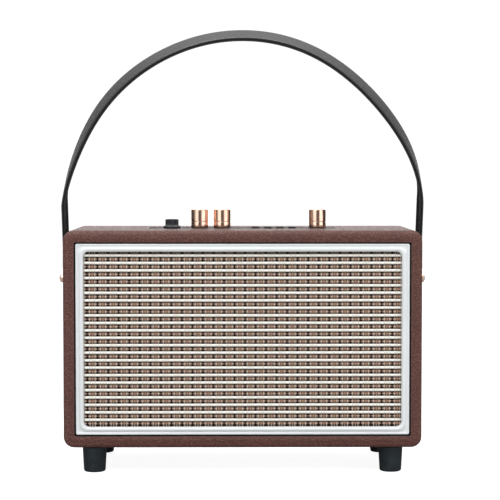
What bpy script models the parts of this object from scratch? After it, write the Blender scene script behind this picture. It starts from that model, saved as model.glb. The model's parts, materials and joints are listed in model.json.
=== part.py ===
"""Portable radio in a leather-wrapped wooden cabinet, with a strap handle that swings over it.

Every piece is its own object. Sizes are in millimetres and are turned into Blender's metres
where a mesh or a location is made. Pieces are placed in the cabinet's own frame: X across,
-Y to the front, Z up from the cabinet's underside. One empty, "radio", holds them all, and it
puts the world's origin on the ground under the middle of the whole object's box.
"""

import math

import bmesh
import bpy
from mathutils import Vector

MM = 0.001  # metres in a millimetre
GAP = 0.3  # clearance between neighbouring pieces

# Cabinet
WIDTH = 300.0
DEPTH = 130.0
HEIGHT = 182.0
CORNER_RADIUS = 9.0  # of the outline seen from the front
EDGE_RADIUS = 3.5  # of the front and rear edges
MIDDLE_Z = HEIGHT / 2
BEZEL = (139.2, 79.8)  # half width and half height
OPENING = (BEZEL[0] + 1.0, BEZEL[1] + 1.0)  # half width and half height between the leather lips
LEATHER = 1.2  # thickness of the leather
TURN_IN = 8.0  # how far the leather turns into the front and rear openings
WALL = 12.0  # thickness of the wooden walls
CORNER_BLOCK = (18.0, 18.0, 18.0)  # wooden blocks that hold the rear panel's screws
CORNER_BLOCK_BITE = 3.0  # how far they reach into the walls
FRONT_STEP_Y = -46.0  # the baffle board rests on this step
REAR_STEP_Y = 54.7  # the rear panel rests on this step

# Front
BEZEL_FRONT_Y = -63.9
BEZEL_BACK_Y = -60.5
CLOTH = (138.0, 78.0)
CLOTH_Y = (-60.2, -58.4)
FRAME_Y = (-58.1, -54.6)
FRAME_BAR = 12.0
BAFFLE_Y = (-54.3, -46.3)

# Loudspeakers
SPEAKER_X = 68.0
SPEAKER_HOLE_RADIUS = 33.5

# Top controls, from left to right
PLATE = (80.0, 17.0)
PLATE_Z = (179.3, 181.6)
PLATE_RADIUS = 2.0
WELL = (76.0, 14.0)  # hole through the top board, under the plate
PLATE_CLEAR = 0.4  # round the plate, in the leather and in the wood
POCKET_Z = 179.0  # floor of the ledge that carries the plate
JACK_X = -61.0
DIALS = {"volume": -37.0, "tone": -17.5, "tuning": 65.0}
BUTTONS = {"mode": 11.5, "previous": 22.0, "play": 32.5, "next": 43.0}
KNOB_RADIUS = 7.5
KNOB_HEIGHT = 16.0
KNOB_Z = 182.1
BUSHING_RADIUS = 3.6
BUTTON_RADIUS = 3.6
BUTTON_TOP_Z = 182.9
JACK_SLEEVE_RADIUS = 4.4

# Rear
PANEL_Y = (55.0, 59.0)
SCREW_X = (-128.0, 0.0, 128.0)
SCREW_RISE = 69.0  # of the panel screws above and below the middle
SCREW_SHANK_RADIUS = 1.2
PORT_X = -70.0
PORT_RADIUS = 20.0
SOCKETS_AT = (62.0, 62.0)  # x and z of the connector plate's middle
CONNECTOR_PLATE = (50.0, 20.0)
CONNECTOR_HOLE = (46.0, 16.0)
CONNECTOR_PLATE_THICKNESS = 1.5
ROCKER_X = SOCKETS_AT[0] - 34.0
DC_X = SOCKETS_AT[0] - 10.0
USB_X = SOCKETS_AT[0] + 12.0
AUX_X = SOCKETS_AT[0] + 34.0
ROCKER_PIVOT_Y = 57.5
ROCKER_TILT = 9.0  # degrees either side of level
ROCKER_BODY = (6.4, 9.7)  # half width and half height of the frame's body
DC_RADIUS = 5.4
USB_BODY = (7.2, 3.4)
AUX_RADIUS = 3.9

# Handle
PIVOT_Z = 138.3
STRAP_WIDTH = 26.0
STRAP_THICKNESS = 3.2
STRAP_LEAN = 18.0  # degrees forward of upright at rest
ARCH_HALF_WIDTH = 151.95  # to the middle of the strap's thickness, flat beside the cabinet
ARCH_SPRING = 70.4  # height above the studs where the arch starts, clear of the cabinet's edges
ARCH_RISE = 144.9
ARCH_POWERS = (2.03, 1.63)  # of the superellipse, across and up
ARCH_STEPS = 22
STUD_RADIUS = 2.4
STUD_HEAD_RADIUS = 3.6

# Feet
FOOT_X = 124.6
FOOT_Y = 51.0
FOOT_HEIGHT = 21.2
FOOT_SCREW_RADIUS = 1.7

# Facets
CORNER_STEPS = 4
EDGE_STEPS = 3
TURN_STEPS = 20
SMALL_TURN_STEPS = 12
SPEAKER_STEPS = 14
HOLE_STEPS = 24  # of large holes

FACE_FRONT = (90, 0, 0)  # turns an upright piece's top to the front
FACE_REAR = (-90, 0, 0)

LOOKS = {  # colour, roughness, metallic
    "leather": ((0.125, 0.058, 0.046), 0.55, 0.0),
    "wood": ((0.45, 0.30, 0.17), 0.70, 0.0),
    "black_board": ((0.02, 0.02, 0.02), 0.80, 0.0),
    "grille_cloth": ((0.55, 0.45, 0.36), 0.90, 0.0),
    "satin_silver": ((0.73, 0.76, 0.78), 0.32, 0.9),
    "copper": ((0.80, 0.46, 0.32), 0.18, 1.0),
    "black_plastic": ((0.02, 0.022, 0.025), 0.45, 0.0),
    "black_metal": ((0.05, 0.05, 0.055), 0.40, 0.8),
    "steel": ((0.55, 0.56, 0.58), 0.30, 1.0),
    "ferrite": ((0.09, 0.09, 0.10), 0.60, 0.3),
    "paper_cone": ((0.05, 0.05, 0.05), 0.85, 0.0),
    "rubber": ((0.025, 0.031, 0.036), 0.70, 0.0),
    "strap": ((0.022, 0.022, 0.023), 0.50, 0.0),
    "circuit_board": ((0.03, 0.17, 0.07), 0.45, 0.0),
    "battery_wrap": ((0.03, 0.12, 0.42), 0.35, 0.0),
}


# ---------------------------------------------------------------- outlines and meshes


def arc(centre, radius, start, end, steps):
    """Points of an arc in a plane, from one angle in degrees to another."""
    angles = [math.radians(start + (end - start) * i / steps) for i in range(steps + 1)]
    return [(centre[0] + radius * math.cos(a), centre[1] + radius * math.sin(a)) for a in angles]


def rounded_rectangle(half_u, half_v, radius, steps=CORNER_STEPS):
    points = []
    for side_u, side_v, start in ((1, 1, 0), (-1, 1, 90), (-1, -1, 180), (1, -1, 270)):
        centre = (side_u * (half_u - radius), side_v * (half_v - radius))
        points += arc(centre, radius, start, start + 90, steps)
    return points


def add_strip(bm, first, second):
    """Faces between two loops of corners, where either loop may be a single point on the axis."""
    count = max(len(first), len(second))
    for i in range(count):
        corners = []
        for loop, order in ((first, (i, i + 1)), (second, (i + 1, i))):
            corners += [loop[k % len(loop)] for k in order] if len(loop) > 1 else [loop[0]]
        bm.faces.new(corners)


def skin(loops, closed=False):
    """A closed mesh over a row of loops. Its ends are capped, or joined where the row is a ring."""
    bm = bmesh.new()
    rows = [[bm.verts.new(Vector(point) * MM) for point in loop] for loop in loops]
    for first, second in zip(rows, rows[1:]):
        add_strip(bm, first, second)
    if closed:
        add_strip(bm, rows[-1], rows[0])
    else:
        for end in (rows[0], rows[-1]):
            if len(end) > 1:
                bm.faces.new(end)
    bmesh.ops.recalc_face_normals(bm, faces=bm.faces)
    mesh = bpy.data.meshes.new("mesh")
    bm.to_mesh(mesh)
    bm.free()
    mesh.shade_smooth()
    mesh.set_sharp_from_angle(angle=math.radians(35))
    return mesh


def loft(rings, closed=False):
    """A skin over rounded rectangles that face the front: (half x, half z, corner radius, y)."""
    loops = []
    for half_x, half_z, radius, y in rings:
        loops.append([(x, y, z) for x, z in rounded_rectangle(half_x, half_z, radius)])
    return skin(loops, closed)


def slab(half_x, half_y, radius, low_z, high_z):
    """A flat plate with round corners, lying down."""
    outline = rounded_rectangle(half_x, half_y, radius)
    return skin([[(x, y, z) for x, y in outline] for z in (low_z, high_z)])


def panel(half_x, half_z, radius, span_y):
    """A flat plate with round corners, standing up."""
    return loft([(half_x, half_z, radius, y) for y in span_y])


def turned(profile, closed=False, steps=TURN_STEPS):
    """A piece turned round its own Z from (radius, height) points."""
    loops = []
    for radius, height in profile:
        if radius == 0:
            loops.append([(0, 0, height)])
        else:
            loops.append([(x, y, height) for x, y in arc((0, 0), radius, 0, 360, steps)[:-1]])
    return skin(loops, closed)


def rod(radius, low_z, high_z, steps=SMALL_TURN_STEPS):
    return turned([(0, high_z), (radius, high_z), (radius, low_z), (0, low_z)], steps=steps)


def block(low, high):
    corners = [(low[0], low[1]), (high[0], low[1]), (high[0], high[1]), (low[0], high[1])]
    return skin([[(x, y, z) for x, y in corners] for z in (low[2], high[2])])


def block_at(centre, size):
    low = [c - s / 2 for c, s in zip(centre, size)]
    high = [c + s / 2 for c, s in zip(centre, size)]
    return block(low, high)


def prism(outline, low_x, high_x):
    """A (y, z) outline drawn out along X."""
    return skin([[(x, y, z) for y, z in outline] for x in (low_x, high_x)])


# ---------------------------------------------------------------- objects


def clear_scene():
    for obj in list(bpy.data.objects):
        bpy.data.objects.remove(obj)


def make_materials():
    for name, (colour, roughness, metallic) in LOOKS.items():
        material = bpy.data.materials.new(name)
        material.use_nodes = True
        shader = material.node_tree.nodes["Principled BSDF"]
        shader.inputs["Base Color"].default_value = (*colour, 1.0)
        shader.inputs["Roughness"].default_value = roughness
        shader.inputs["Metallic"].default_value = metallic
        material.diffuse_color = (*colour, 1.0)


def empty(name, at, turn=(0, 0, 0), parent=None):
    obj = bpy.data.objects.new(name, None)
    return place(obj, at, turn, parent)


def place(obj, at, turn, parent):
    bpy.context.scene.collection.objects.link(obj)
    obj.location = Vector(at) * MM
    obj.rotation_euler = [math.radians(angle) for angle in turn]
    obj.parent = parent
    return obj


def piece(name, mesh, look, at=(0, 0, 0), turn=(0, 0, 0), parent=None):
    """One part of the radio, with its own origin and its own material slot."""
    obj = bpy.data.objects.new(name, mesh)
    if not mesh.materials:
        mesh.materials.append(bpy.data.materials[look])
    return place(obj, at, turn, parent or bpy.data.objects["radio"])


def helper(target, mesh, at=(0, 0, 0), turn=(0, 0, 0)):
    """A shape that a Boolean of the target uses, placed in the target's frame."""
    obj = bpy.data.objects.new(f"{target.name}_helper", mesh)
    obj.hide_render = True
    obj.display_type = "WIRE"
    return place(obj, at, turn, target)


def boolean(target, tool, operation):
    modifier = target.modifiers.new(operation.lower(), "BOOLEAN")
    modifier.operation = operation
    modifier.solver = "EXACT"
    modifier.object = tool


def cut(target, mesh, at=(0, 0, 0), turn=(0, 0, 0)):
    boolean(target, helper(target, mesh, at, turn), "DIFFERENCE")


def join(target, mesh, at=(0, 0, 0), turn=(0, 0, 0)):
    boolean(target, helper(target, mesh, at, turn), "UNION")


# ---------------------------------------------------------------- cabinet


def edge_rings(reach, face_y, radius, outward):
    """Rings over a rounded edge, from the face at face_y round to the side.

    reach is how far the side lies inside the cabinet's outline, and outward is -1 at the front
    edge and 1 at the rear one.
    """
    middle = reach + radius
    rings = []
    for step in range(EDGE_STEPS + 1):
        angle = math.radians(90 * step / EDGE_STEPS)
        inset = middle - radius * math.sin(angle)
        y = face_y - outward * radius * (1 - math.cos(angle))
        rings.append(inset_ring(inset, y))
    return rings


def inset_ring(inset, y):
    return (WIDTH / 2 - inset, HEIGHT / 2 - inset, CORNER_RADIUS - inset, y)


def opening_ring(grow, y, radius):
    """A ring just outside the leather opening."""
    return (OPENING[0] + grow, OPENING[1] + grow, radius, y)


def leather_rings():
    """Once round the leather's section: out over the front edge, back along the inside."""
    front, rear = -DEPTH / 2, DEPTH / 2
    lip = 1.0  # radius of the leather where it turns into the opening
    turned_in = LEATHER - 0.4  # corner radius of the turned-in leather
    rings = [
        opening_ring(0, front + TURN_IN, turned_in),
        opening_ring(0, front + lip, turned_in),
        opening_ring(0.3 * lip, front + 0.3 * lip, turned_in),
        opening_ring(lip, front, turned_in),
    ]
    rings += edge_rings(0, front, EDGE_RADIUS, -1)
    rings += reversed(edge_rings(0, rear, EDGE_RADIUS, 1))
    rings += [
        opening_ring(lip, rear, turned_in),
        opening_ring(0.3 * lip, rear - 0.3 * lip, turned_in),
        opening_ring(0, rear - lip, turned_in),
        opening_ring(0, rear - TURN_IN, turned_in),
        opening_ring(LEATHER, rear - TURN_IN, turned_in),
        opening_ring(LEATHER, rear - LEATHER, turned_in),
    ]
    rings += edge_rings(LEATHER, rear - LEATHER, EDGE_RADIUS - LEATHER, 1)
    rings += reversed(edge_rings(LEATHER, front + LEATHER, EDGE_RADIUS - LEATHER, -1))
    rings += [
        opening_ring(LEATHER, front + LEATHER, turned_in),
        opening_ring(LEATHER, front + TURN_IN, turned_in),
    ]
    return rings


def shell_rings():
    """Once round the wooden box's section, with a rabbet at the front and at the rear."""
    skin_depth = LEATHER + GAP
    front, rear = -DEPTH / 2 + skin_depth, DEPTH / 2 - skin_depth
    radius = EDGE_RADIUS - skin_depth
    rabbet_radius = 1.1
    hollow = (WIDTH / 2 - skin_depth - WALL, HEIGHT / 2 - skin_depth - WALL, 1.0)
    rings = [opening_ring(skin_depth, front, rabbet_radius)]
    rings += edge_rings(skin_depth, front, radius, -1)
    rings += reversed(edge_rings(skin_depth, rear, radius, 1))
    rings += [
        opening_ring(skin_depth, rear, rabbet_radius),
        opening_ring(skin_depth, REAR_STEP_Y, rabbet_radius),
        (*hollow, REAR_STEP_Y),
        (*hollow, FRONT_STEP_Y),
        opening_ring(skin_depth, FRONT_STEP_Y, rabbet_radius),
    ]
    return rings


def panel_screw_places():
    return [(x, MIDDLE_Z + side * SCREW_RISE) for side in (1, -1) for x in SCREW_X]


def foot_places():
    return {
        f"{depth}_{side}": (x, y)
        for depth, y in (("front", -FOOT_Y), ("rear", FOOT_Y))
        for side, x in (("left", -FOOT_X), ("right", FOOT_X))
    }


def cut_stud_and_foot_holes(target, foot_hole_top):
    """Holes along X for the two studs and along Z for the four foot screws."""
    for side in (-1, 1):
        reach = rod(STUD_RADIUS + GAP, -20, 20)
        cut(target, reach, (side * WIDTH / 2, 0, PIVOT_Z - MIDDLE_Z), (0, 90, 0))
    for x, y in foot_places().values():
        shaft = rod(FOOT_SCREW_RADIUS + GAP, -5, foot_hole_top)
        cut(target, shaft, (x, y, -MIDDLE_Z))


def plate_space(low_z, high_z):
    """The control plate's outline with its clearance, as a cutter."""
    half = [size + PLATE_CLEAR for size in PLATE]
    return slab(*half, PLATE_RADIUS + PLATE_CLEAR, low_z, high_z)


def make_leather_wrap():
    wrap = piece("leather_wrap", loft(leather_rings(), closed=True), "leather", (0, 0, MIDDLE_Z))
    cut(wrap, plate_space(-5, 5), (0, 0, HEIGHT - MIDDLE_Z))
    cut_stud_and_foot_holes(wrap, foot_hole_top=5)


def make_cabinet_shell():
    shell = piece("cabinet_shell", loft(shell_rings(), closed=True), "wood", (0, 0, MIDDLE_Z))
    set_back = 0.7  # of the blocks behind the rear step
    for x, z in panel_screw_places():
        outward = math.copysign(CORNER_BLOCK_BITE, x) if x else 0
        rise = math.copysign(CORNER_BLOCK_BITE, z - MIDDLE_Z)
        y = REAR_STEP_Y - set_back - CORNER_BLOCK[1] / 2
        join(shell, block_at((x + outward, y, z - MIDDLE_Z + rise), CORNER_BLOCK))
    screw_hole = rod(SCREW_SHANK_RADIUS + GAP, -8, 8)
    for x, z in panel_screw_places():
        cut(shell, screw_hole, (x, REAR_STEP_Y - 3, z - MIDDLE_Z), FACE_REAR)
    cut(shell, plate_space(0, 10), (0, 0, POCKET_Z - MIDDLE_Z))
    cut(shell, slab(*WELL, PLATE_RADIUS, -25, 5), (0, 0, POCKET_Z - MIDDLE_Z))
    cut_stud_and_foot_holes(shell, foot_hole_top=11.5)


# ---------------------------------------------------------------- front


def bezel_rings():
    """Round the bezel's section: a flat outer lip, a shallow valley and a round inner ridge."""
    front = BEZEL_FRONT_Y
    section = [  # inset from the outer edge, corner radius, y
        (0.0, 1.0, BEZEL_BACK_Y),
        (0.0, 1.0, front + 0.3),
        (0.3, 0.9, front),
        (1.8, 1.2, front),
        (2.4, 4.8, front + 0.6),
        (2.8, 6.7, front + 0.2),
        (3.7, 6.4, front - 0.6),
        (4.8, 5.8, front - 0.8),
        (5.9, 5.2, front - 0.5),
        (6.7, 4.7, front + 0.4),
        (7.1, 4.4, front + 1.4),
        (7.1, 4.4, BEZEL_BACK_Y),
    ]
    return [(BEZEL[0] - inset, BEZEL[1] - inset, radius, y) for inset, radius, y in section]


def make_front():
    middle = (0, 0, MIDDLE_Z)
    piece("front_bezel", loft(bezel_rings(), closed=True), "satin_silver", middle)
    piece("grille_cloth", panel(*CLOTH, 2, CLOTH_Y), "grille_cloth", middle)
    inner = (CLOTH[0] - FRAME_BAR, CLOTH[1] - FRAME_BAR, 3)
    outer = (*CLOTH, 2)
    frame = [(*inner, FRAME_Y[0]), (*outer, FRAME_Y[0]), (*outer, FRAME_Y[1]), (*inner, FRAME_Y[1])]
    piece("grille_frame", loft(frame, closed=True), "black_board", middle)
    board = panel(OPENING[0] + 1, OPENING[1] + 1, 0.8, BAFFLE_Y)
    baffle = piece("baffle_board", board, "black_board", middle)
    for side in (-1, 1):
        hole = rod(SPEAKER_HOLE_RADIUS, 40, 60, HOLE_STEPS)
        cut(baffle, hole, (side * SPEAKER_X, 0, 0), FACE_FRONT)


# ---------------------------------------------------------------- loudspeakers


def basket_mesh():
    """Flange, sloping frame and the ring that carries the magnet. Height 0 is the flange's front."""
    return turned(
        [
            (30.5, 0), (38, 0), (38, -2), (33, -2), (22, -22), (22, -24),
            (12, -24), (12, -22.5), (20.3, -22.5), (30.5, -3),
        ],
        closed=True,
        steps=SPEAKER_STEPS,
    )


def magnet_mesh():
    """Pole piece, front plate, ring magnet and back plate, with the voice coil's gap."""
    return turned(
        [
            (0, -24.3), (7.6, -24.3), (7.6, -33), (9.6, -33), (9.6, -24.3), (20, -24.3),
            (20, -27.3), (22.5, -27.3), (22.5, -36.3), (20, -36.3), (20, -39.3), (0, -39.3),
        ],
        steps=SPEAKER_STEPS,
    )


def cone_mesh():
    """Dust cap, paper cone and voice coil former as one thin shell, open at the back."""
    return turned(
        [
            (0, -9), (5, -9.8), (9.2, -13.2), (25.8, -1.8), (26.6, -1.6), (26.6, -2.4),
            (25.9, -2.7), (9, -14.6), (9, -31), (8.2, -31), (8.2, -13.4), (4.6, -10.8), (0, -10),
        ],
        steps=SPEAKER_STEPS,
    )


def surround_mesh():
    """Flexible ring with a half roll between the cone's rim and the flange."""
    return turned(
        [
            (33, 0.3), (33, 0.9), (30.7, 0.9), (29.9, 2.1), (28.3, 2.3), (26.9, -0.6),
            (26.9, -2.2), (27.5, -2.2), (27.6, -0.7), (28.7, 1.7), (29.5, 1.4), (30.2, 0.3),
        ],
        closed=True,
        steps=SPEAKER_STEPS,
    )


def make_speaker(side_name, side):
    at = (side * SPEAKER_X, FRONT_STEP_Y, MIDDLE_Z)
    basket = piece(f"speaker_basket_{side_name}", basket_mesh(), "black_metal", at, FACE_FRONT)
    for size in ((80, 15, 11), (15, 80, 11)):
        cut(basket, block_at((0, 0, -12.5), size))
    piece(f"speaker_magnet_{side_name}", magnet_mesh(), "ferrite", at, FACE_FRONT)
    piece(f"speaker_cone_{side_name}", cone_mesh(), "paper_cone", at, FACE_FRONT)
    piece(f"speaker_surround_{side_name}", surround_mesh(), "rubber", at, FACE_FRONT)


# ---------------------------------------------------------------- top controls


def make_control_plate():
    plate = piece("control_plate", slab(*PLATE, PLATE_RADIUS, *PLATE_Z), "black_metal")
    for x in DIALS.values():
        cut(plate, rod(BUSHING_RADIUS + GAP, 170, 190), (x, 0, 0))
    for x in BUTTONS.values():
        cut(plate, rod(BUTTON_RADIUS + GAP, 170, 190), (x, 0, 0))
    cut(plate, rod(JACK_SLEEVE_RADIUS + GAP, 170, 190), (JACK_X, 0, 0))


def knob_mesh():
    """Smooth band, shallow groove and taller upper part, bored from below for the shaft."""
    r, h = KNOB_RADIUS, KNOB_HEIGHT
    top_round = arc((r - 0.7, h - 0.7), 0.7, 90, 0, 2)
    return turned(
        [(0, h)] + top_round + [
            (r, 5.9), (r - 0.25, 5.7), (r - 0.25, 5.4), (r, 5.2), (r, 0.3), (r - 0.3, 0),
            (4.2, 0), (4.2, 2.5), (3.3, 2.5), (3.3, 13), (0, 13),
        ]
    )


def shaft_mesh():
    """Thick end inside the knob and thin journal inside the bushing. Height 0 is the knob's foot."""
    return turned(
        [(0, 12.7), (3, 12.7), (3, 2), (1.5, 2), (1.5, -9.8), (0, -9.8)], steps=SMALL_TURN_STEPS
    )


def pot_mesh():
    """Round case under the plate with a bored bushing through it."""
    return turned(
        [
            (0, -13), (8, -13), (8, -3.2), (BUSHING_RADIUS, -3.2), (BUSHING_RADIUS, 1.7),
            (1.9, 1.7), (1.9, -10.1), (0, -10.1),
        ],
        steps=SMALL_TURN_STEPS,
    )


def make_dials():
    knob, shaft, pot = knob_mesh(), shaft_mesh(), pot_mesh()
    for name, x in DIALS.items():
        at = (x, 0, KNOB_Z)
        piece(f"{name}_knob", knob, "copper", at)
        piece(f"{name}_shaft", shaft, "steel", at)
        piece(f"{name}_control", pot, "steel", at)


def button_mesh():
    """Cap through the plate, flange that holds it in and a stem. Height 0 is the cap's top."""
    r = BUTTON_RADIUS
    return turned(
        [
            (0, 0.1), (r - 1, 0), (r - 0.4, -0.1), (r, -0.5), (r, -4.3), (r + 1, -4.3),
            (r + 1, -5.6), (2, -5.6), (2, -6.5), (0, -6.5),
        ],
        steps=SMALL_TURN_STEPS,
    )


def make_buttons():
    cap = button_mesh()
    for name, x in BUTTONS.items():
        piece(f"{name}_button", cap, "black_metal", (x, 0, BUTTON_TOP_Z))


def make_control_board():
    """Small circuit board on two posts, with a push switch under each button."""
    xs = list(BUTTONS.values())
    low_x, high_x = min(xs) - 8, max(xs) + 8
    board_z = (170.4, 172.0)
    board = piece(
        "control_board",
        block((low_x, -10, board_z[0]), (high_x, 10, board_z[1])),
        "circuit_board",
    )
    for x in xs:
        join(board, block((x - 3, -3, board_z[1] - 0.5), (x + 3, 3, 174.9)))
    for x in (low_x + 2, high_x - 2):
        join(board, rod(1.5, board_z[1] - 0.5, PLATE_Z[0] - GAP), (x, 7, 0))


def make_microphone_jack():
    """Jack body under the plate, its threaded sleeve, and the ribbed nut that clamps it."""
    sleeve, bore = JACK_SLEEVE_RADIUS, 3.25
    body = [
        (0, 155), (8, 155), (8, 178.9), (sleeve, 178.9), (sleeve, 188.9), (bore, 188.9),
        (bore, 160), (0, 160),
    ]
    piece("microphone_jack_body", turned(body), "black_plastic", (JACK_X, 0, 0))
    inner, flange, collar = sleeve + GAP, 7.65, 5.5
    nut = [
        (inner, 181.9), (flange, 181.9), (flange, 183.6), (flange - 0.5, 184.4),
        (collar, 184.4), (collar, 189.2), (collar - 0.4, 189.6), (inner, 189.6),
    ]
    piece("microphone_jack_nut", turned(nut, closed=True), "black_plastic", (JACK_X, 0, 0))


# ---------------------------------------------------------------- rear


def make_rear_panel():
    fit = 0.3
    board = panel(OPENING[0] - fit, OPENING[1] - fit, 0.8, PANEL_Y)
    rear = piece("rear_panel", board, "black_board", (0, 0, MIDDLE_Z))
    for x, z in panel_screw_places():
        cut(rear, rod(SCREW_SHANK_RADIUS + 0.4, 50, 65), (x, 0, z - MIDDLE_Z), FACE_REAR)
    cut(rear, rod(PORT_RADIUS + GAP, 50, 65, HOLE_STEPS), (PORT_X, 0, 0), FACE_REAR)
    hole = panel(*CONNECTOR_HOLE, 2, (50, 65))
    cut(rear, hole, (SOCKETS_AT[0], 0, SOCKETS_AT[1] - MIDDLE_Z))


def make_rear_screws():
    head, shank = 3.0, SCREW_SHANK_RADIUS
    face = PANEL_Y[1] + GAP
    mesh = turned(
        [
            (0, face + 1.9), (head * 0.55, face + 1.7), (head, face + 0.8), (head, face),
            (shank, face), (shank, face - 14), (0, face - 15.5),
        ],
        steps=SMALL_TURN_STEPS,
    )
    for number, (x, z) in enumerate(panel_screw_places(), 1):
        piece(f"rear_panel_screw_{number}", mesh, "steel", (x, 0, z), FACE_REAR)


def make_bass_port():
    """Straight tube with a flared mouth and a flange on the rear panel."""
    face = PANEL_Y[1] + GAP
    bore = PORT_RADIUS - 1.8
    mouth = arc((bore + 5, face - 3), 5, 180, 90, 4)
    profile = [
        (PORT_RADIUS, 8), (PORT_RADIUS, face), (PORT_RADIUS + 7, face),
        (PORT_RADIUS + 7, face + 1), (PORT_RADIUS + 6, face + 2),
    ]
    profile += list(reversed(mouth)) + [(bore, 8)]
    at = (PORT_X, 0, MIDDLE_Z)
    piece("bass_port_tube", turned(profile, closed=True), "black_plastic", at, FACE_REAR)


def make_connector_plate():
    face = PANEL_Y[1] + GAP
    x, z = SOCKETS_AT
    slab_mesh = panel(*CONNECTOR_PLATE, 3, (face, face + CONNECTOR_PLATE_THICKNESS))
    plate = piece("connector_plate", slab_mesh, "black_metal", (x, 0, z))
    through, clear = (50, 65), 0.4
    rocker_hole = panel(ROCKER_BODY[0] + GAP, ROCKER_BODY[1] + GAP, 0.5, through)
    cut(plate, rocker_hole, (ROCKER_X - x, 0, 0))
    cut(plate, rod(DC_RADIUS + clear, *through), (DC_X - x, 0, 0), FACE_REAR)
    usb_hole = panel(USB_BODY[0] + clear, USB_BODY[1] + clear, 0.5, through)
    cut(plate, usb_hole, (USB_X - x, 0, 0))
    cut(plate, rod(AUX_RADIUS + clear, *through), (AUX_X - x, 0, 0), FACE_REAR)


def make_power_switch():
    """Rocker in a frame that clips into the connector plate."""
    flange_y = PANEL_Y[1] + GAP + CONNECTOR_PLATE_THICKNESS + GAP
    flange, body, hollow = (7.5, 11.2), ROCKER_BODY, (5.3, 9.0)
    rings = [
        (*body, 0.5, 47), (*body, 0.5, flange_y), (*flange, 1, flange_y),
        (*flange, 1, flange_y + 0.8), (flange[0] - 0.5, flange[1] - 0.5, 1, flange_y + 1.2),
        (*hollow, 0.5, flange_y + 1.2), (*hollow, 0.5, 51.5),
    ]
    z = SOCKETS_AT[1]
    piece("rocker_switch_frame", loft(rings), "black_plastic", (ROCKER_X, 0, z))
    half = 8.0
    outline = [(4.3, half), (3.0, 0), (4.3, -half), (-1, -half), (-2.2, -5), (-2.2, 5), (-1, half)]
    piece(
        "power_rocker", prism(outline, -4.9, 4.9), "black_plastic",
        (ROCKER_X, ROCKER_PIVOT_Y, z), (-ROCKER_TILT, 0, 0),
    )


def make_sockets():
    outer = PANEL_Y[1] + GAP + CONNECTOR_PLATE_THICKNESS
    z = SOCKETS_AT[1]
    dc_mouth, dc_pin, aux_bore = 3.2, 1.1, 1.8
    dc_flange, aux_flange = DC_RADIUS + 1.2, AUX_RADIUS + 1.3
    dc = [
        (0, 46), (DC_RADIUS, 46), (DC_RADIUS, outer + GAP), (dc_flange, outer + GAP),
        (dc_flange, outer + 1), (dc_mouth, outer + 1), (dc_mouth, 51), (dc_pin, 51),
        (dc_pin - 0.1, outer - 0.6), (0, outer - 0.3),
    ]
    aux = [
        (0, 45), (AUX_RADIUS, 45), (AUX_RADIUS, outer + GAP), (aux_flange, outer + GAP),
        (aux_flange, outer + 1), (aux_bore, outer + 1), (aux_bore, 48), (0, 48),
    ]
    piece("dc_socket", turned(dc, steps=SMALL_TURN_STEPS), "black_plastic", (DC_X, 0, z), FACE_REAR)
    piece("aux_socket", turned(aux, steps=SMALL_TURN_STEPS), "steel", (AUX_X, 0, z), FACE_REAR)
    mouth = (USB_BODY[0] - 0.6, USB_BODY[1] - 0.6)
    usb = loft([
        (*USB_BODY, 0.4, 46), (*USB_BODY, 0.4, outer + 0.5), (*mouth, 0.3, outer + 0.5),
        (*mouth, 0.3, 49),
    ])
    socket = piece("usb_socket", usb, "steel", (USB_X, 0, z))
    join(socket, block((-5.6, 48, -0.2), (5.6, outer - 1, 1.6)))


# ---------------------------------------------------------------- inside


def make_main_board():
    """Amplifier and tuner board that stands on four posts off the rear panel."""
    low_x, high_x, low_z, high_z = 10, 110, 92, 144
    board_y = (42, 43.6)
    green = block((low_x, board_y[0], low_z), (high_x, board_y[1], high_z))
    board = piece("main_board", green, "circuit_board")
    into = 0.5  # how far each component reaches into the board
    for x in (low_x + 5, high_x - 5):
        for z in (low_z + 5, high_z - 5):
            join(board, rod(2.5, board_y[1] - into, PANEL_Y[0] - GAP), (x, 0, z), FACE_REAR)
    front = board_y[0] + into
    join(board, block((62, 28, 100), (98, front, 122)))
    for x in (26, 42):
        join(board, rod(5, -front, -26), (x, 0, 130), FACE_FRONT)
    join(board, block((24, 38, 98), (44, front, 114)))


def make_battery():
    """Two round cells side by side in one wrap, held down by a bent metal strap."""
    cell, floor_z, middle_y = 9.5, 13.8, 6.0
    z = floor_z + cell
    left = arc((middle_y + cell, z), cell, -90, 90, 8)
    right = arc((middle_y - cell, z), cell, 90, 270, 8)
    piece("battery_pack", prism(left + right, -50, 20), "battery_wrap")
    metal = 1.2
    inner, outer = 2 * cell + GAP, 2 * cell + GAP + metal
    top = floor_z + 2 * cell + GAP
    foot = outer + 6
    strap = [
        (-foot, floor_z), (-inner, floor_z), (-inner, top), (inner, top), (inner, floor_z),
        (foot, floor_z), (foot, floor_z + metal), (outer, floor_z + metal), (outer, top + metal),
        (-outer, top + metal), (-outer, floor_z + metal), (-foot, floor_z + metal),
    ]
    centred = [(middle_y + y, height) for y, height in strap]
    piece("battery_bracket", prism(centred, -23, -7), "steel")


def make_antenna():
    """Ferrite rod with its coil, hung from the top board by two clips."""
    y, z, radius = 27.0, 155.0, 5.0
    half = 60.0
    profile = [
        (0, -half), (radius, -half), (radius, -15), (7, -15), (7, 15), (radius, 15),
        (radius, half), (0, half),
    ]
    antenna = piece(
        "ferrite_rod_antenna", turned(profile, steps=SMALL_TURN_STEPS), "ferrite", (0, y, z), (0, 90, 0)
    )
    reach = HEIGHT - LEATHER - GAP - WALL - GAP - z
    for x in (-50, 50):
        join(antenna, block((-reach, -4, x - 2), (0, 4, x + 2)))


# ---------------------------------------------------------------- handle


def power(value, exponent):
    return max(value, 0.0) ** exponent


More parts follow.
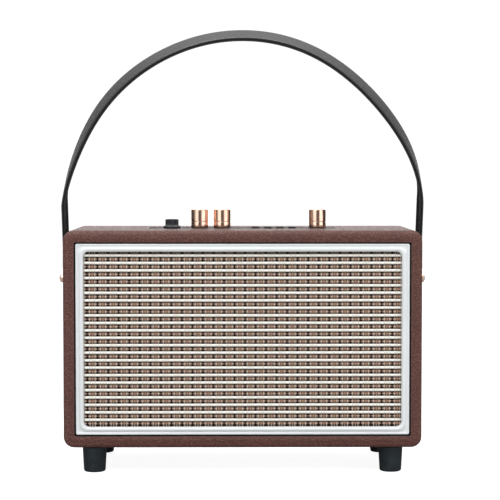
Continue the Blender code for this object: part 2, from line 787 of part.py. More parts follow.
def strap_half():
    """The +X half of the strap's centre line as (x, height above the studs, half width)."""
    half_width = STRAP_WIDTH / 2
    points = []
    for step in range(1, 5):  # the round end below the stud
        angle = math.radians(90 * step / 4)
        points.append((ARCH_HALF_WIDTH, -half_width * math.cos(angle), half_width * math.sin(angle)))
    for step in range(ARCH_STEPS + 1):
        turn = math.pi / 2 * step / ARCH_STEPS
        x = ARCH_HALF_WIDTH * power(math.cos(turn), 2 / ARCH_POWERS[0])
        height = ARCH_SPRING + ARCH_RISE * power(math.sin(turn), 2 / ARCH_POWERS[1])
        points.append((x, height, half_width))
    points[-1] = (0.0, ARCH_SPRING + ARCH_RISE, half_width)
    return points


def strap_mesh():
    """A flat band over the whole centre line. The band's width lies along Y."""
    half = strap_half()
    line = [(-x, height, width) for x, height, width in half[:-1]] + list(reversed(half))
    loops = []
    for i, (x, height, width) in enumerate(line):
        before, after = line[max(i - 1, 0)], line[min(i + 1, len(line) - 1)]
        along = Vector((after[0] - before[0], after[1] - before[1])).normalized()
        out = Vector((-along.y, along.x)) * STRAP_THICKNESS / 2
        loops.append([
            (x + out.x, -width, height + out.y), (x + out.x, width, height + out.y),
            (x - out.x, width, height - out.y), (x - out.x, -width, height - out.y),
        ])
    return skin(loops)


def make_handle():
    pivot = empty("handle_pivot", (0, 0, PIVOT_Z), (STRAP_LEAN, 0, 0), bpy.data.objects["radio"])
    strap = piece("handle_strap", strap_mesh(), "strap", parent=pivot)
    for side in (-1, 1):
        cut(strap, rod(STUD_RADIUS + GAP, -8, 8), (side * ARCH_HALF_WIDTH, 0, 0), (0, 90, 0))
    face = ARCH_HALF_WIDTH + STRAP_THICKNESS / 2 + 0.35
    head = STUD_HEAD_RADIUS
    stud = turned(
        [
            (0, face + 4.8), (head - 1.4, face + 4.6), (head - 0.4, face + 3.8), (head, face + 2.6),
            (head, face), (STUD_RADIUS, face), (STUD_RADIUS, face - 16), (0, face - 16),
        ],
        steps=SMALL_TURN_STEPS,
    )
    for name, turn in (("left", -90), ("right", 90)):
        piece(f"handle_stud_{name}", stud, "copper", (0, 0, PIVOT_Z), (0, turn, 0))


# ---------------------------------------------------------------- feet


def make_feet():
    """Tapered rubber feet, each held by a screw sunk into it from below."""
    top, bottom = 10.25, 9.15
    well, hole, seat = 4.0, FOOT_SCREW_RADIUS + 0.5, -7.2
    tip = -FOOT_HEIGHT
    round_edge = arc((bottom - 1.4, tip + 1.4), 1.4, 0, -90, 2)
    foot = turned(
        [(hole, -GAP), (top, -GAP)] + round_edge + [(well, tip), (well, seat), (hole, seat)],
        closed=True,
    )
    screw = turned(
        [
            (0, 8.0), (FOOT_SCREW_RADIUS, 6.5), (FOOT_SCREW_RADIUS, seat - GAP), (3.5, seat - GAP),
            (3.5, seat - 1.8), (2.2, seat - 2.8), (0, seat - 3),
        ],
        steps=SMALL_TURN_STEPS,
    )
    for name, (x, y) in foot_places().items():
        piece(f"foot_{name}", foot, "rubber", (x, y, 0))
        piece(f"foot_screw_{name}", screw, "steel", (x, y, 0))


# ---------------------------------------------------------------- the radio


def middle_y():
    """Where the cabinet's middle lies, with the whole object's box centred on the origin."""
    lean = math.radians(STRAP_LEAN)
    apex = ARCH_SPRING + ARCH_RISE + STRAP_THICKNESS / 2
    front_reach = apex * math.sin(lean) + STRAP_WIDTH / 2 * math.cos(lean)
    return (front_reach - DEPTH / 2) / 2


def main():
    clear_scene()
    make_materials()
    empty("radio", (0, middle_y(), FOOT_HEIGHT))
    make_cabinet_shell()
    make_leather_wrap()
    make_front()
    make_speaker("left", -1)
    make_speaker("right", 1)
    make_control_plate()
    make_dials()
    make_buttons()
    make_control_board()
    make_microphone_jack()
    make_rear_panel()
    make_rear_screws()
    make_bass_port()
    make_connector_plate()
    make_power_switch()
    make_sockets()
    make_main_board()
    make_battery()
    make_antenna()
    make_handle()
    make_feet()


main()
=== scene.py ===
"""Looks for the leather portable radio: fine meshes, materials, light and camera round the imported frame.

Sizes are in millimetres in the cabinet's own frame (X across, -Y to the front, Z up from the
cabinet's underside, Y 0 at mid-depth) and become metres in the row frame where a mesh is made.
"""

import json
import math
import random

import bmesh
import bpy
import numpy as np
from mathutils import Matrix, Vector, noise


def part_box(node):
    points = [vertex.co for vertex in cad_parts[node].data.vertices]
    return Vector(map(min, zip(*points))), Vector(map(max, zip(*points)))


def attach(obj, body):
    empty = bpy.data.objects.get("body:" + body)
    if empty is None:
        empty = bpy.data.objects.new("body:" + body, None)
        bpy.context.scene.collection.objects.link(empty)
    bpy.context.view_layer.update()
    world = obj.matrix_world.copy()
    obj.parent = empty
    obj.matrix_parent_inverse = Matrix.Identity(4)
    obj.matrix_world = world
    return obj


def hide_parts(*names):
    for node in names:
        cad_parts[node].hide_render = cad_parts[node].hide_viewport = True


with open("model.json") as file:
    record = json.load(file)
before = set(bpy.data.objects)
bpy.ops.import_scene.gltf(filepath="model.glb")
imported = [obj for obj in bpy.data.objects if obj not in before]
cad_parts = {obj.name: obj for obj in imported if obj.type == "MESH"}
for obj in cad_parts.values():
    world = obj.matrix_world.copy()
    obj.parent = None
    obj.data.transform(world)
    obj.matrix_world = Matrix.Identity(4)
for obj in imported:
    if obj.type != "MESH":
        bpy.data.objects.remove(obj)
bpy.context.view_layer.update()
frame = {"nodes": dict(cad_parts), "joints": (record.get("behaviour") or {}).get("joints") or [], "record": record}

MM = 0.001  # metres in a millimetre


# ------------ places, from the frame


def row_box(node):
    """A CAD node's lowest and highest corners in the row frame, in millimetres."""
    low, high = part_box(node)
    return low / MM, high / MM


wrap_low, wrap_high = row_box("leather_wrap")
ORIGIN = np.array([0.0, (wrap_low.y + wrap_high.y) / 2, wrap_low.z])  # cabinet frame's origin


def box(node):
    """A CAD node's lowest and highest corners in the cabinet frame, in millimetres."""
    low, high = row_box(node)
    return np.array(low) - ORIGIN, np.array(high) - ORIGIN


def middle(node):
    low, high = box(node)
    return (low + high) / 2


def half_size(node):
    low, high = box(node)
    return (high - low) / 2


def joint_place(name):
    """A joint's place in the cabinet frame, in millimetres."""
    joint = next(j for j in frame["joints"] if j["name"] == name)
    return np.array(joint["pos_m"]) / MM - ORIGIN


BODIES = frame["record"]["behaviour"]["bodies"]
BODY_OF = {node: body for body, nodes in BODIES.items() for node in nodes}
SLOT_OF = {part["node"]: part["material_slot"] for part in frame["record"]["subparts"]}

WIDTH, DEPTH, HEIGHT = wrap_high - wrap_low
MIDDLE_Z = HEIGHT / 2
FRONT_Y, REAR_Y = -DEPTH / 2, DEPTH / 2

# Leather
CORNER_RADIUS = 9.0
EDGE_RADIUS = 4.8
BORDER_CROWN = 0.35  # the padded border's middle stands this far out of its ends
BEZEL_GAP = 0.8  # between the bezel and the leather's lip
LIP = 1.1  # radius of the leather's roll into an opening
OPENING_RADIUS = 1.0
TURN_IN = 8.0
LEATHER = 1.2  # thickness

# Bezel and grille
bezel_low, bezel_high = box("front_bezel")
BEZEL = ((bezel_high[0] - bezel_low[0]) / 2, (bezel_high[2] - bezel_low[2]) / 2)
BEZEL_BACK_Y = bezel_high[1]
BEZEL_FACE_Y = bezel_low[1] + 0.8  # the outer lip stands 0.8 behind the ridge
BEZEL_WIDTH = 6.6
CORDS = 23
CORD_PITCH = 6.257
TOP_CORD_DROP = 3.25  # from the grille opening's top to the first cord
WARP_PITCH = 2.198
WARP_SHIFT = 2.0  # of the middle dark warp to the right of the cabinet's middle
CORD_RADIUS = 1.12
SHADE_SHEET = 0.5  # thickness of the dark sheet behind the yarns, painted shade seen through the weave's holes
DARK, CENTRE = 0, 2  # places in a repeat of four warps: the dark one and the middle pale one

# Handle
PIVOT_Z = joint_place("handle_swing")[2]
STRAP_WIDTH = 26.0
STRAP_CORE = 3.2  # thickness of the strap's solid in the frame
STRAP_THICKNESS = 3.6  # with its dressed faces
STRAP_LEAN = math.radians(18.0)
ARCH_SPRING = 70.4  # height over the studs where the arch, its twist and its sway begin
ARCH_POWERS = (2.03, 1.63)  # of the superellipse, across and up
STRAP_TWIST = math.radians(6.4)  # its shoulders turn a little to the front
STRAP_SWAY = 1.3  # the arch leans a little to its left near the top
STUD_HEAD_RADIUS = 3.6
STUD_HOLE = 2.7  # radius of the hole through the strap

# Top controls
KNOBS = ("volume", "tone", "tuning")
BUTTONS = ("mode", "previous", "play", "next")
JACK_HOLE = 4.7  # radius inside the ribbed nut

# Studio: lamps are (name, place, aim, size, watts, whether polished surfaces mirror the lamp)
LAMPS = (
    ("key", (-0.7, -1.5, 2.0), (0, 0, 0.15), (1.2, 1.0), 24, True),
    ("fill", (1.1, -2.0, 0.5), (0, 0, 0.12), (0.9, 0.9), 11, False),
    ("top", (0.0, 0.3, 1.8), (0, 0, 0.1), (1.6, 1.0), 16, True),
    ("rear", (0.0, 1.6, 0.38), (0, 0, 0.2), (1.2, 0.5), 3.2, True),
)
RING_STRENGTH = 4.0
SKY_GREY = 1.25
RING_GREYS = (  # (azimuth in degrees, 0 towards the camera and plus to the right, brightness)
    (-180, 0.95), (-153, 0.95), (-143, 0.15), (-130, 0.06), (-102, 0.06), (-90, 0.35), (-62, 0.45),
    (-48, 1.7), (-22, 1.7), (-14, 0.20), (0, 0.12), (14, 0.15), (26, 0.40), (34, 1.8), (70, 1.8),
    (82, 0.40), (100, 0.06), (130, 0.06), (143, 0.15), (153, 0.95), (180, 0.95),
)
FLOOR_REACH = 3.0
CAMERA_LENS = 126.7
CAMERA_PLACE = (-0.0072, -1.5185, 0.2538)
CAMERA_PITCH, CAMERA_YAW = 2.62, 0.52  # degrees down and to the right


# ------------ outlines


def arc(centre, radius, start, end, steps):
    """Points of an arc in a plane, from one angle in degrees to another."""
    angles = [math.radians(start + (end - start) * i / steps) for i in range(steps + 1)]
    return [(centre[0] + radius * math.cos(a), centre[1] + radius * math.sin(a)) for a in angles]


def rounded_rectangle(half_u, half_v, radius, corner_steps=8, along_u=1, along_v=1):
    """Points round a rounded rectangle, with even stretches between its corners."""
    corners = []
    for side_u, side_v, start in ((1, 1, 0), (-1, 1, 90), (-1, -1, 180), (1, -1, 270)):
        centre = (side_u * (half_u - radius), side_v * (half_v - radius))
        corners.append(arc(centre, radius, start, start + 90, corner_steps))
    points = []
    for i, corner in enumerate(corners):
        points += corner
        parts = along_v if i % 2 else along_u
        first, last = np.array(corner[-1]), np.array(corners[(i + 1) % 4][0])
        points += [tuple(first + (last - first) * k / parts) for k in range(1, parts)]
    return points


def filleted(points, radius, steps=3, closed=False):
    """The same outline with each corner rounded off, as far as its neighbours leave room."""
    points = [np.array(p, float) for p in points]
    rounded = []
    for i, corner in enumerate(points):
        if not closed and i in (0, len(points) - 1):
            rounded.append(tuple(corner))
            continue
        back, ahead = points[i - 1] - corner, points[(i + 1) % len(points)] - corner
        length_back, length_ahead = np.linalg.norm(back), np.linalg.norm(ahead)
        reach = min(radius, length_back * 0.45, length_ahead * 0.45)
        start = corner + back / max(length_back, 1e-9) * reach
        end = corner + ahead / max(length_ahead, 1e-9) * reach
        for k in range(steps + 1):
            t = k / steps
            rounded.append(tuple((1 - t) ** 2 * start + 2 * t * (1 - t) * corner + t * t * end))
    return rounded


def dome(radius, top, depth, steps):
    """Half of a dome's outline as (radius, height), from its middle to its edge."""
    angles = np.linspace(0, math.pi / 2, steps)
    return [(radius * math.sin(a), top - depth + depth * math.cos(a)) for a in angles]


# ------------ meshes


def grid(points, wrap_rows=False, wrap_columns=True, capped=False, lengths=None, widths=None):
    """Faces over rows x columns of points, as (points, faces, uv of each face's corners)."""
    points = np.asarray(points, float)
    rows, columns = points.shape[:2]
    index = np.arange(rows * columns).reshape(rows, columns)
    row_steps = np.arange(rows if wrap_rows else rows - 1)
    column_steps = np.arange(columns if wrap_columns else columns - 1)
    i, j = np.meshgrid(row_steps, column_steps, indexing="ij")
    i, j = i.ravel(), j.ravel()
    corners = ((i, j), (i + 1, j), (i + 1, j + 1), (i, j + 1))
    faces = np.stack([index[a % rows, b % columns] for a, b in corners], axis=1)
    along = np.arange(rows + 1, dtype=float) if lengths is None else np.append(lengths, lengths[-1])
    across = np.arange(columns + 1) / columns if widths is None else np.append(widths, widths[0])
    uvs = np.stack([np.stack([along[a], across[b]], axis=1) for a, b in corners], axis=1)
    faces, uvs = faces.tolist(), uvs.reshape(-1, 2).tolist()
    if capped:
        for row in (index[0], index[-1][::-1]):
            faces.append(row.tolist())
            uvs += [[0.0, 0.0]] * columns
    return points.reshape(-1, 3), faces, uvs


def clean(mesh, merge=0.0):
    """Merges points that lie within merge metres and turns every face outwards."""
    bm = bmesh.new()
    bm.from_mesh(mesh)
    if merge:
        bmesh.ops.remove_doubles(bm, verts=bm.verts, dist=merge)
    bmesh.ops.recalc_face_normals(bm, faces=bm.faces)
    bm.to_mesh(mesh)
    bm.free()


def make_mesh(grids, sharp=35.0, merge=0.0):
    """One smooth mesh of any number of grids. Their points are cabinet-frame millimetres."""
    all_points, all_faces, all_uvs, start = [], [], [], 0
    for points, faces, uvs in grids:
        all_points.append(points)
        all_faces += [[k + start for k in face] for face in faces]
        all_uvs += uvs
        start += len(points)
    world = (np.concatenate(all_points) + ORIGIN) * MM
    mesh = bpy.data.meshes.new("mesh")
    mesh.from_pydata(world.tolist(), [], all_faces)
    layer = mesh.uv_layers.new(name="UVMap")
    layer.data.foreach_set("uv", np.array(all_uvs, np.float32).ravel())
    clean(mesh, merge)
    return smooth(mesh, sharp)


def smooth(mesh, sharp=35.0):
    mesh.shade_smooth()
    mesh.set_sharp_from_angle(angle=math.radians(sharp))
    return mesh


def faced(points, at, facing):
    """Turned points (x, y, height) with their height up, or towards the side that is named."""
    x, y, height = points[..., 0], points[..., 1], points[..., 2]
    ways = {
        "up": (x, y, height), "rear": (-x, height, y), "left": (-height, x, y),
        "right": (height, -x, y),
    }
    return np.stack(ways[facing], axis=-1) + np.array(at, float)


def turned(profile, at, steps=64, closed=False, facing="up", flutes=None, edge=0.25):
    """A mesh turned from (radius, height) points, with rounded corners and, if asked, flutes.

    flutes is (count, depth, lowest height, highest height).
    """
    if edge:
        profile = filleted(profile, edge, closed=closed)
    shares = np.arange(steps) / steps
    angles = shares * 2 * math.pi
    rows = []
    for radius, height in profile:
        radii = np.full(steps, float(radius))
        if flutes and flutes[2] < height < flutes[3]:
            radii -= flutes[1] * (0.5 + 0.5 * np.cos(shares * flutes[0] * 2 * math.pi))
        ring = (radii * np.cos(angles), radii * np.sin(angles), np.full(steps, height))
        rows.append(np.stack(ring, axis=1))
    points = faced(np.array(rows), at, facing)
    return make_mesh([grid(points, wrap_rows=closed)], merge=1e-7)


def drill(radius, low, high, at, steps, facing="up"):
    """A cylinder to cut a round hole with."""
    profile = [(0, low), (radius, low), (radius, high), (0, high)]
    return turned(profile, at, steps, facing=facing, edge=0)


def loft(rings, at=(0, 0, 0), closed=True, corner_steps=8):
    """A mesh over upright rounded rectangles (half x, half z, corner radius, y)."""
    rows = []
    for half_x, half_z, radius, y in rings:
        outline = rounded_rectangle(half_x, half_z, radius, corner_steps)
        rows.append([(x, y, z) for x, z in outline])
    points = np.array(rows) + np.array(at, float)
    return make_mesh([grid(points, wrap_rows=closed, capped=not closed)])


def slab(half_x, half_y, radius, levels):
    """A flat plate lying down; levels are (inset, height) from its underside to its top."""
    rows = []
    for inset, height in levels:
        outline = rounded_rectangle(half_x - inset, half_y - inset, radius - inset)
        rows.append([(x, y, height) for x, y in outline])
    return make_mesh([grid(rows, capped=True)])


def linked(name, data):
    """A new object in the scene."""
    obj = bpy.data.objects.new(name, data)
    bpy.context.scene.collection.objects.link(obj)
    return obj


def applied(target, helpers=()):
    """The target's mesh with its modifiers applied; the target and the helpers go."""
    graph = bpy.context.evaluated_depsgraph_get()
    mesh = bpy.data.meshes.new_from_object(target.evaluated_get(graph), depsgraph=graph)
    for obj in (*helpers, target):
        bpy.data.objects.remove(obj)
    mesh.materials.clear()
    return smooth(mesh)


def cut(mesh, *tools):
    """The mesh less each tool mesh, as a new mesh."""
    target = linked("target", mesh)
    helpers = [linked("tool", tool) for tool in tools]
    for helper in helpers:
        modifier = target.modifiers.new("cut", "BOOLEAN")
        modifier.operation = "DIFFERENCE"
        modifier.solver = "EXACT"
        modifier.object = helper
    return applied(target, helpers)


def softened(mesh, width):
    """The mesh with its sharp edges bevelled by a width in millimetres."""
    target = linked("target", mesh)
    modifier = target.modifiers.new("bevel", "BEVEL")
    modifier.width = width * MM
    modifier.segments = 2
    modifier.limit_method = "ANGLE"
    modifier.angle_limit = math.radians(40.0)
    return applied(target)


def set_attribute(mesh, name, values):
    attribute = mesh.attributes.new(name, "FLOAT", "POINT")
    attribute.data.foreach_set("value", np.asarray(values, np.float32))


def show(node, mesh, name=None, paint=None):
    """A finished piece in place of a CAD node, on its body, in its slot and by default its paint."""
    obj = linked(name or f"{node}_fine", mesh)
    mesh.materials.clear()
    mesh.materials.append(paint or PAINTS[SLOT_OF[node]])
    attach(obj, BODY_OF[node])
    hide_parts(node)


# ------------ shader helpers


def opaque(colour):
    """A colour with its alpha; a socket stays as it is."""
    return (*colour, 1.0) if isinstance(colour, tuple) else colour


def scaled(colour, factor, lift=0.0):
    """A colour made lighter or darker, at most white."""
    return tuple(min(1.0, channel * factor + lift) for channel in colour)


class Nodes:
    """A node tree with short calls for the nodes that this script uses."""

    def __init__(self, tree):
        self.tree = tree

    def node(self, kind, inputs=None, **settings):
        """A node whose inputs are links where a socket is given, and values otherwise."""
        made = self.tree.nodes.new(kind)
        for key, value in settings.items():
            setattr(made, key, value)
        for key, value in (inputs or {}).items():
            self.put(made.inputs[key], value)
        return made

    def put(self, socket, value):
        if isinstance(value, bpy.types.NodeSocket):
            self.tree.links.new(value, socket)
        else:
            socket.default_value = value

    def math(self, operation, first, second=0.0, third=0.0):
        made = self.node("ShaderNodeMath", operation=operation)
        for socket, value in zip(made.inputs, (first, second, third)):
            self.put(socket, value)
        return made.outputs[0]

    def times(self, first, second):
        return self.math("MULTIPLY", first, second)

    def range(self, value, low, high, to_low=0.0, to_high=1.0):
        inputs = {"Value": value, "From Min": low, "From Max": high, "To Min": to_low,
                  "To Max": to_high}
        return self.node("ShaderNodeMapRange", inputs).outputs[0]

    def mix(self, share, first, second):
        """Two colours mixed by share."""
        made = self.node("ShaderNodeMix", data_type="RGBA")
        self.put(made.inputs["Factor"], share)
        for key, value in (("A", first), ("B", second)):
            socket = next(s for s in made.inputs if s.name == key and s.type == "RGBA")
            self.put(socket, opaque(value))
        return next(s for s in made.outputs if s.type == "RGBA")


class Paint(Nodes):
    """A material's node tree."""

    def __init__(self, name):
        self.material = bpy.data.materials.new(name)
        self.material.use_nodes = True
        super().__init__(self.material.node_tree)
        self.shader = self.tree.nodes["Principled BSDF"]

    def place(self, stretch=(1, 1, 1), source="Object"):
        """Coordinates of the surface in millimetres, stretched along each axis."""
        scale = 1.0 if source == "UV" else 1 / MM
        coordinates = self.node("ShaderNodeTexCoord").outputs[source]
        scales = tuple(s * scale for s in stretch)
        return self.node("ShaderNodeMapping", {"Vector": coordinates, "Scale": scales}).outputs[0]

    def noise(self, size, where=None, detail=3.0):
        """Noise with lumps of about size millimetres, 0 to 1."""
        inputs = {"Vector": where or self.place(), "Scale": 1 / size, "Detail": detail,
                  "Roughness": 0.55}
        return self.node("ShaderNodeTexNoise", inputs).outputs["Fac"]

    def cells(self, size, where, randomness=1.0, smoothness=0.3):
        """Distance from the middles of soft cells of about size millimetres."""
        inputs = {"Vector": where, "Scale": 1 / size, "Randomness": randomness,
                  "Smoothness": smoothness}
        return self.node("ShaderNodeTexVoronoi", inputs, feature="SMOOTH_F1").outputs["Distance"]

    def attribute(self, name):
        return self.node("ShaderNodeAttribute", attribute_name=name).outputs["Fac"]

    def bump(self, height, depth, below=None, strength=1.0):
        """A bump of depth millimetres, on top of another one."""
        inputs = {"Height": height, "Distance": depth * MM, "Strength": strength}
        if below:
            inputs["Normal"] = below
        return self.node("ShaderNodeBump", inputs).outputs[0]

    def finish(self, colour, roughness, normal=None, **values):
        """Fills the shader; values are its other inputs, with _ for a space."""
        self.put(self.shader.inputs["Base Color"], opaque(colour))
        self.put(self.shader.inputs["Roughness"], roughness)
        if normal:
            self.put(self.shader.inputs["Normal"], normal)
        for key, value in values.items():
            self.put(self.shader.inputs[key.replace("_", " ")], value)
        return self.material


# ------------ materials


def leather_paint():
    """Dark brown pebbled leatherette with painted shade in its creases, lighter along its edges (partly rubbed
    wear, partly a painted highlight) and a painted shadow in the gap round the bezel.
    """
    p = Paint("leather")
    sway = p.noise(4.0, detail=2.0)
    moved = p.node("ShaderNodeCombineXYZ", {"X": sway, "Y": sway, "Z": sway}).outputs[0]
    where = p.node("ShaderNodeVectorMath", {0: p.place(), 1: moved}, operation="ADD").outputs[0]
    pebble = p.cells(1.5, where, randomness=0.7, smoothness=0.15)
    crease = p.range(pebble, 0.22, 0.62)
    fine = p.noise(0.35, detail=2.0)
    wrinkle = p.noise(3.2, p.place((0.35, 1.0, 1.0)), detail=4.0)
    patch = p.noise(26.0, detail=3.0)
    edge = p.attribute("edge")
    # lighter along the edges: partly rubbed wear, partly a painted highlight
    rubbed_and_highlit = p.times(edge, p.range(p.noise(2.2, detail=4.0), 0.45, 0.75))
    shadow = p.attribute("shadow")
    base = p.mix(p.range(patch, 0.35, 0.65), (0.106, 0.032, 0.022), (0.134, 0.042, 0.029))
    # painted shade: the pebbles' creases darker
    base = p.mix(p.times(crease, 0.7), base, (0.044, 0.014, 0.010))
    base = p.mix(p.times(rubbed_and_highlit, 0.45), base, (0.20, 0.105, 0.08))
    base = p.mix(shadow, base, (0.006, 0.003, 0.003))
    shine = p.range(crease, 0.0, 1.0, 0.28, 0.60)
    shine = p.math("SUBTRACT", shine, p.times(rubbed_and_highlit, 0.08))
    normal = p.bump(p.math("SUBTRACT", 1.0, crease), 0.36)
    normal = p.bump(wrinkle, 0.15, normal, 0.6)
    normal = p.bump(fine, 0.03, normal)
    return p.finish(base, shine, normal, Specular_IOR_Level=0.46)


def strap_paint():
    """Black strap leather: a fine grain across the strap, dressed edges, lighter along them partly from wear and
    partly as a painted highlight.
    """
    p = Paint("strap_leather")
    edge = p.attribute("edge")
    across = p.noise(0.75, p.place((1.0, 0.16, 1.0), "UV"), detail=3.0)
    pores = p.cells(0.55, p.place((1.0, 0.6, 1.0), "UV"))
    patch = p.noise(18.0, detail=3.0)
    face = p.mix(p.range(patch, 0.35, 0.65), (0.022, 0.022, 0.023), (0.031, 0.030, 0.031))
    face = p.mix(p.range(across, 0.35, 0.7), face, (0.013, 0.013, 0.014))
    # lighter along the edges: partly rubbed wear, partly a painted highlight
    rubbed_and_highlit = p.times(edge, p.range(p.noise(1.6, detail=4.0), 0.5, 0.8))
    colour = p.mix(edge, face, (0.006, 0.006, 0.007))
    colour = p.mix(p.times(rubbed_and_highlit, 0.12), colour, (0.05, 0.05, 0.052))
    bevel = p.range(p.math("ABSOLUTE", p.math("SUBTRACT", edge, 0.6)), 0.0, 0.35, 1.0, 0.0)
    shine = p.math("ADD", p.range(across, 0.3, 0.7, 0.42, 0.58), p.times(edge, 0.10))
    shine = p.math("SUBTRACT", shine, p.times(bevel, 0.25))
    gloss = p.math("ADD", p.range(edge, 0.0, 1.0, 0.38, 0.12), p.times(bevel, 0.5))
    gloss = p.times(gloss, p.range(p.attribute("inner_face"), 0.0, 1.0, 1.0, 0.0))
    normal = p.bump(pores, 0.05, p.bump(across, 0.10))
    return p.finish(colour, shine, normal, Specular_IOR_Level=gloss)


def metal_paint(name, colour, roughness, stretch, scratch):
    """A metal finish with fine scratches along one direction and faint clouds.

    Where a mesh has the attribute "radius", the finish also has fine rings from the lathe.
    """
    p = Paint(name)
    cloud = p.noise(9.0, detail=3.0)
    scratches = p.noise(0.35, p.place(stretch), detail=3.0)
    base = p.mix(p.range(cloud, 0.3, 0.7), colour, scaled(colour, 0.86))
    rings = p.math("SINE", p.times(p.attribute("radius"), 2 * math.pi / 0.45))
    shine = p.math("ADD", p.range(cloud, 0.3, 0.7, roughness * 0.85, roughness * 1.2),
                   p.range(scratches, 0.35, 0.7, -0.03, 0.05))
    normal = p.bump(rings, 0.012, p.bump(scratches, scratch))
    return p.finish(base, shine, normal, Metallic=1.0)


def bezel_paint():
    """Satin silver-white paint over metal, with a faint orange peel and fine lighter specks."""
    p = Paint("satin_silver")
    peel = p.noise(0.9, detail=2.0)
    cloud = p.noise(30.0, detail=2.0)
    base = p.mix(p.range(cloud, 0.3, 0.7), (0.68, 0.705, 0.715), (0.65, 0.675, 0.685))
    speck = p.range(p.noise(0.25, detail=1.0), 0.62, 0.75)
    base = p.mix(p.times(speck, 0.25), base, (0.8, 0.82, 0.83))
    shine = p.range(peel, 0.3, 0.7, 0.30, 0.38)
    return p.finish(base, shine, p.bump(peel, 0.012), Metallic=0.08, Specular_IOR_Level=0.5)


def moulded_paint(name, colour, roughness, grain=0.35, depth=0.02, dust=0.15, specular=0.5):
    """Moulded plastic, rubber or powder coat: fine spark texture, faint clouds and dust."""
    p = Paint(name)
    spark = p.noise(grain, detail=2.0)
    cloud = p.noise(7.0, detail=4.0)
    base = p.mix(p.range(cloud, 0.35, 0.7), colour, scaled(colour, 1.5, 0.006))
    dusty = p.times(p.range(spark, 0.55, 0.8), dust)
    base = p.mix(dusty, base, scaled(colour, 2, 0.02))
    shine = p.range(spark, 0.3, 0.7, roughness - 0.05, roughness + 0.07)
    return p.finish(base, shine, p.bump(spark, depth), Specular_IOR_Level=specular)


def fibre_paint(name, colour, other, roughness, stretch=(0.25, 1, 1), depth=0.05):
    """Board or paper: short fibres in two shades."""
    p = Paint(name)
    fibres = p.noise(0.8, p.place(stretch), detail=4.0)
    cloud = p.noise(14.0, detail=3.0)
    base = p.mix(p.range(fibres, 0.35, 0.65), colour, other)
    base = p.mix(p.times(p.range(cloud, 0.4, 0.7), 0.35), base, scaled(colour, 1.25))
    shine = p.range(fibres, 0.3, 0.7, roughness - 0.06, roughness + 0.06)
    return p.finish(base, shine, p.bump(fibres, depth))


def board_paint():
    """Green solder mask with faint copper tracks under it."""
    p = Paint("circuit_board")
    black, white = (0, 0, 0, 1), (1, 1, 1, 1)
    bricks = {"Vector": p.place(), "Scale": 0.35, "Mortar Size": 0.06, "Color1": black,
              "Color2": black, "Mortar": white}
    track = p.node("ShaderNodeTexBrick", bricks).outputs["Color"]
    cloud = p.noise(5.0)
    base = p.mix(p.range(cloud, 0.3, 0.7), (0.02, 0.13, 0.05), (0.03, 0.18, 0.07))
    base = p.mix(p.times(track, 0.5), base, (0.10, 0.30, 0.10))
    return p.finish(base, p.range(cloud, 0.3, 0.7, 0.35, 0.5), p.bump(track, 0.04))


def wrap_paint():
    """Blue shrink wrap, slightly creased."""
    p = Paint("battery_wrap")
    crease = p.noise(6.0, p.place((0.2, 1, 1)), detail=4.0)
    base = p.mix(p.range(crease, 0.3, 0.7), (0.02, 0.09, 0.36), (0.03, 0.13, 0.45))
    return p.finish(base, p.range(crease, 0.3, 0.7, 0.25, 0.4), p.bump(crease, 0.2))


def yarn_paint(name, colour, groove, turn, strands=3.0, beside_dark=None):
    """Twisted yarn with painted shade in its twist's grooves. U runs along it in millimetres and V once round it.

    beside_dark is a lighter colour that the yarn takes on either side of the dark warp.
    """
    p = Paint(name)
    uv = p.node("ShaderNodeSeparateXYZ", {0: p.node("ShaderNodeTexCoord").outputs["UV"]})
    along, round_it = uv.outputs[0], uv.outputs[1]
    turns = p.math("ADD", p.math("DIVIDE", along, turn), p.times(round_it, strands))
    twist = p.math("SINE", p.times(turns, 2 * math.pi))
    fibres = p.noise(0.28, detail=3.0)
    base = p.mix(p.range(p.noise(1.7), 0.3, 0.7), colour, scaled(colour, 0.86))
    if beside_dark:
        periods = p.math("DIVIDE", p.math("SUBTRACT", along, WARP_SHIFT), 4 * WARP_PITCH)
        from_middle = p.math("ABSOLUTE", p.math("SUBTRACT", p.math("FRACT", periods), 0.5))
        base = p.mix(p.range(from_middle, 0.16, 0.30), base, beside_dark)
    # painted shade: the yarn darker in the grooves of its twist
    base = p.mix(p.times(p.range(twist, 0.2, -1.0), 0.6), base, groove)
    base = p.mix(p.times(p.range(fibres, 0.5, 0.8), 0.25), base, scaled(colour, 1.3))
    normal = p.bump(fibres, 0.04, p.bump(twist, 0.06))
    return p.finish(base, 0.9, normal, Specular_IOR_Level=0.08)


def floor_paint():
    """Pale matt studio paper with a barely visible tooth."""
    p = Paint("studio_paper")
    tooth = p.noise(2.0, detail=2.0)
    base = p.mix(tooth, (0.34, 0.34, 0.34), (0.36, 0.36, 0.36))
    seen = p.node("ShaderNodeLightPath").outputs["Is Camera Ray"]
    glow = p.times(seen, 0.90)  # keeps the shadow pale, as on a lit table
    return p.finish(base, 0.9, p.bump(tooth, 0.02), Specular_IOR_Level=0.1,
                    Emission_Color=(1.0, 1.0, 1.0, 1.0), Emission_Strength=glow)


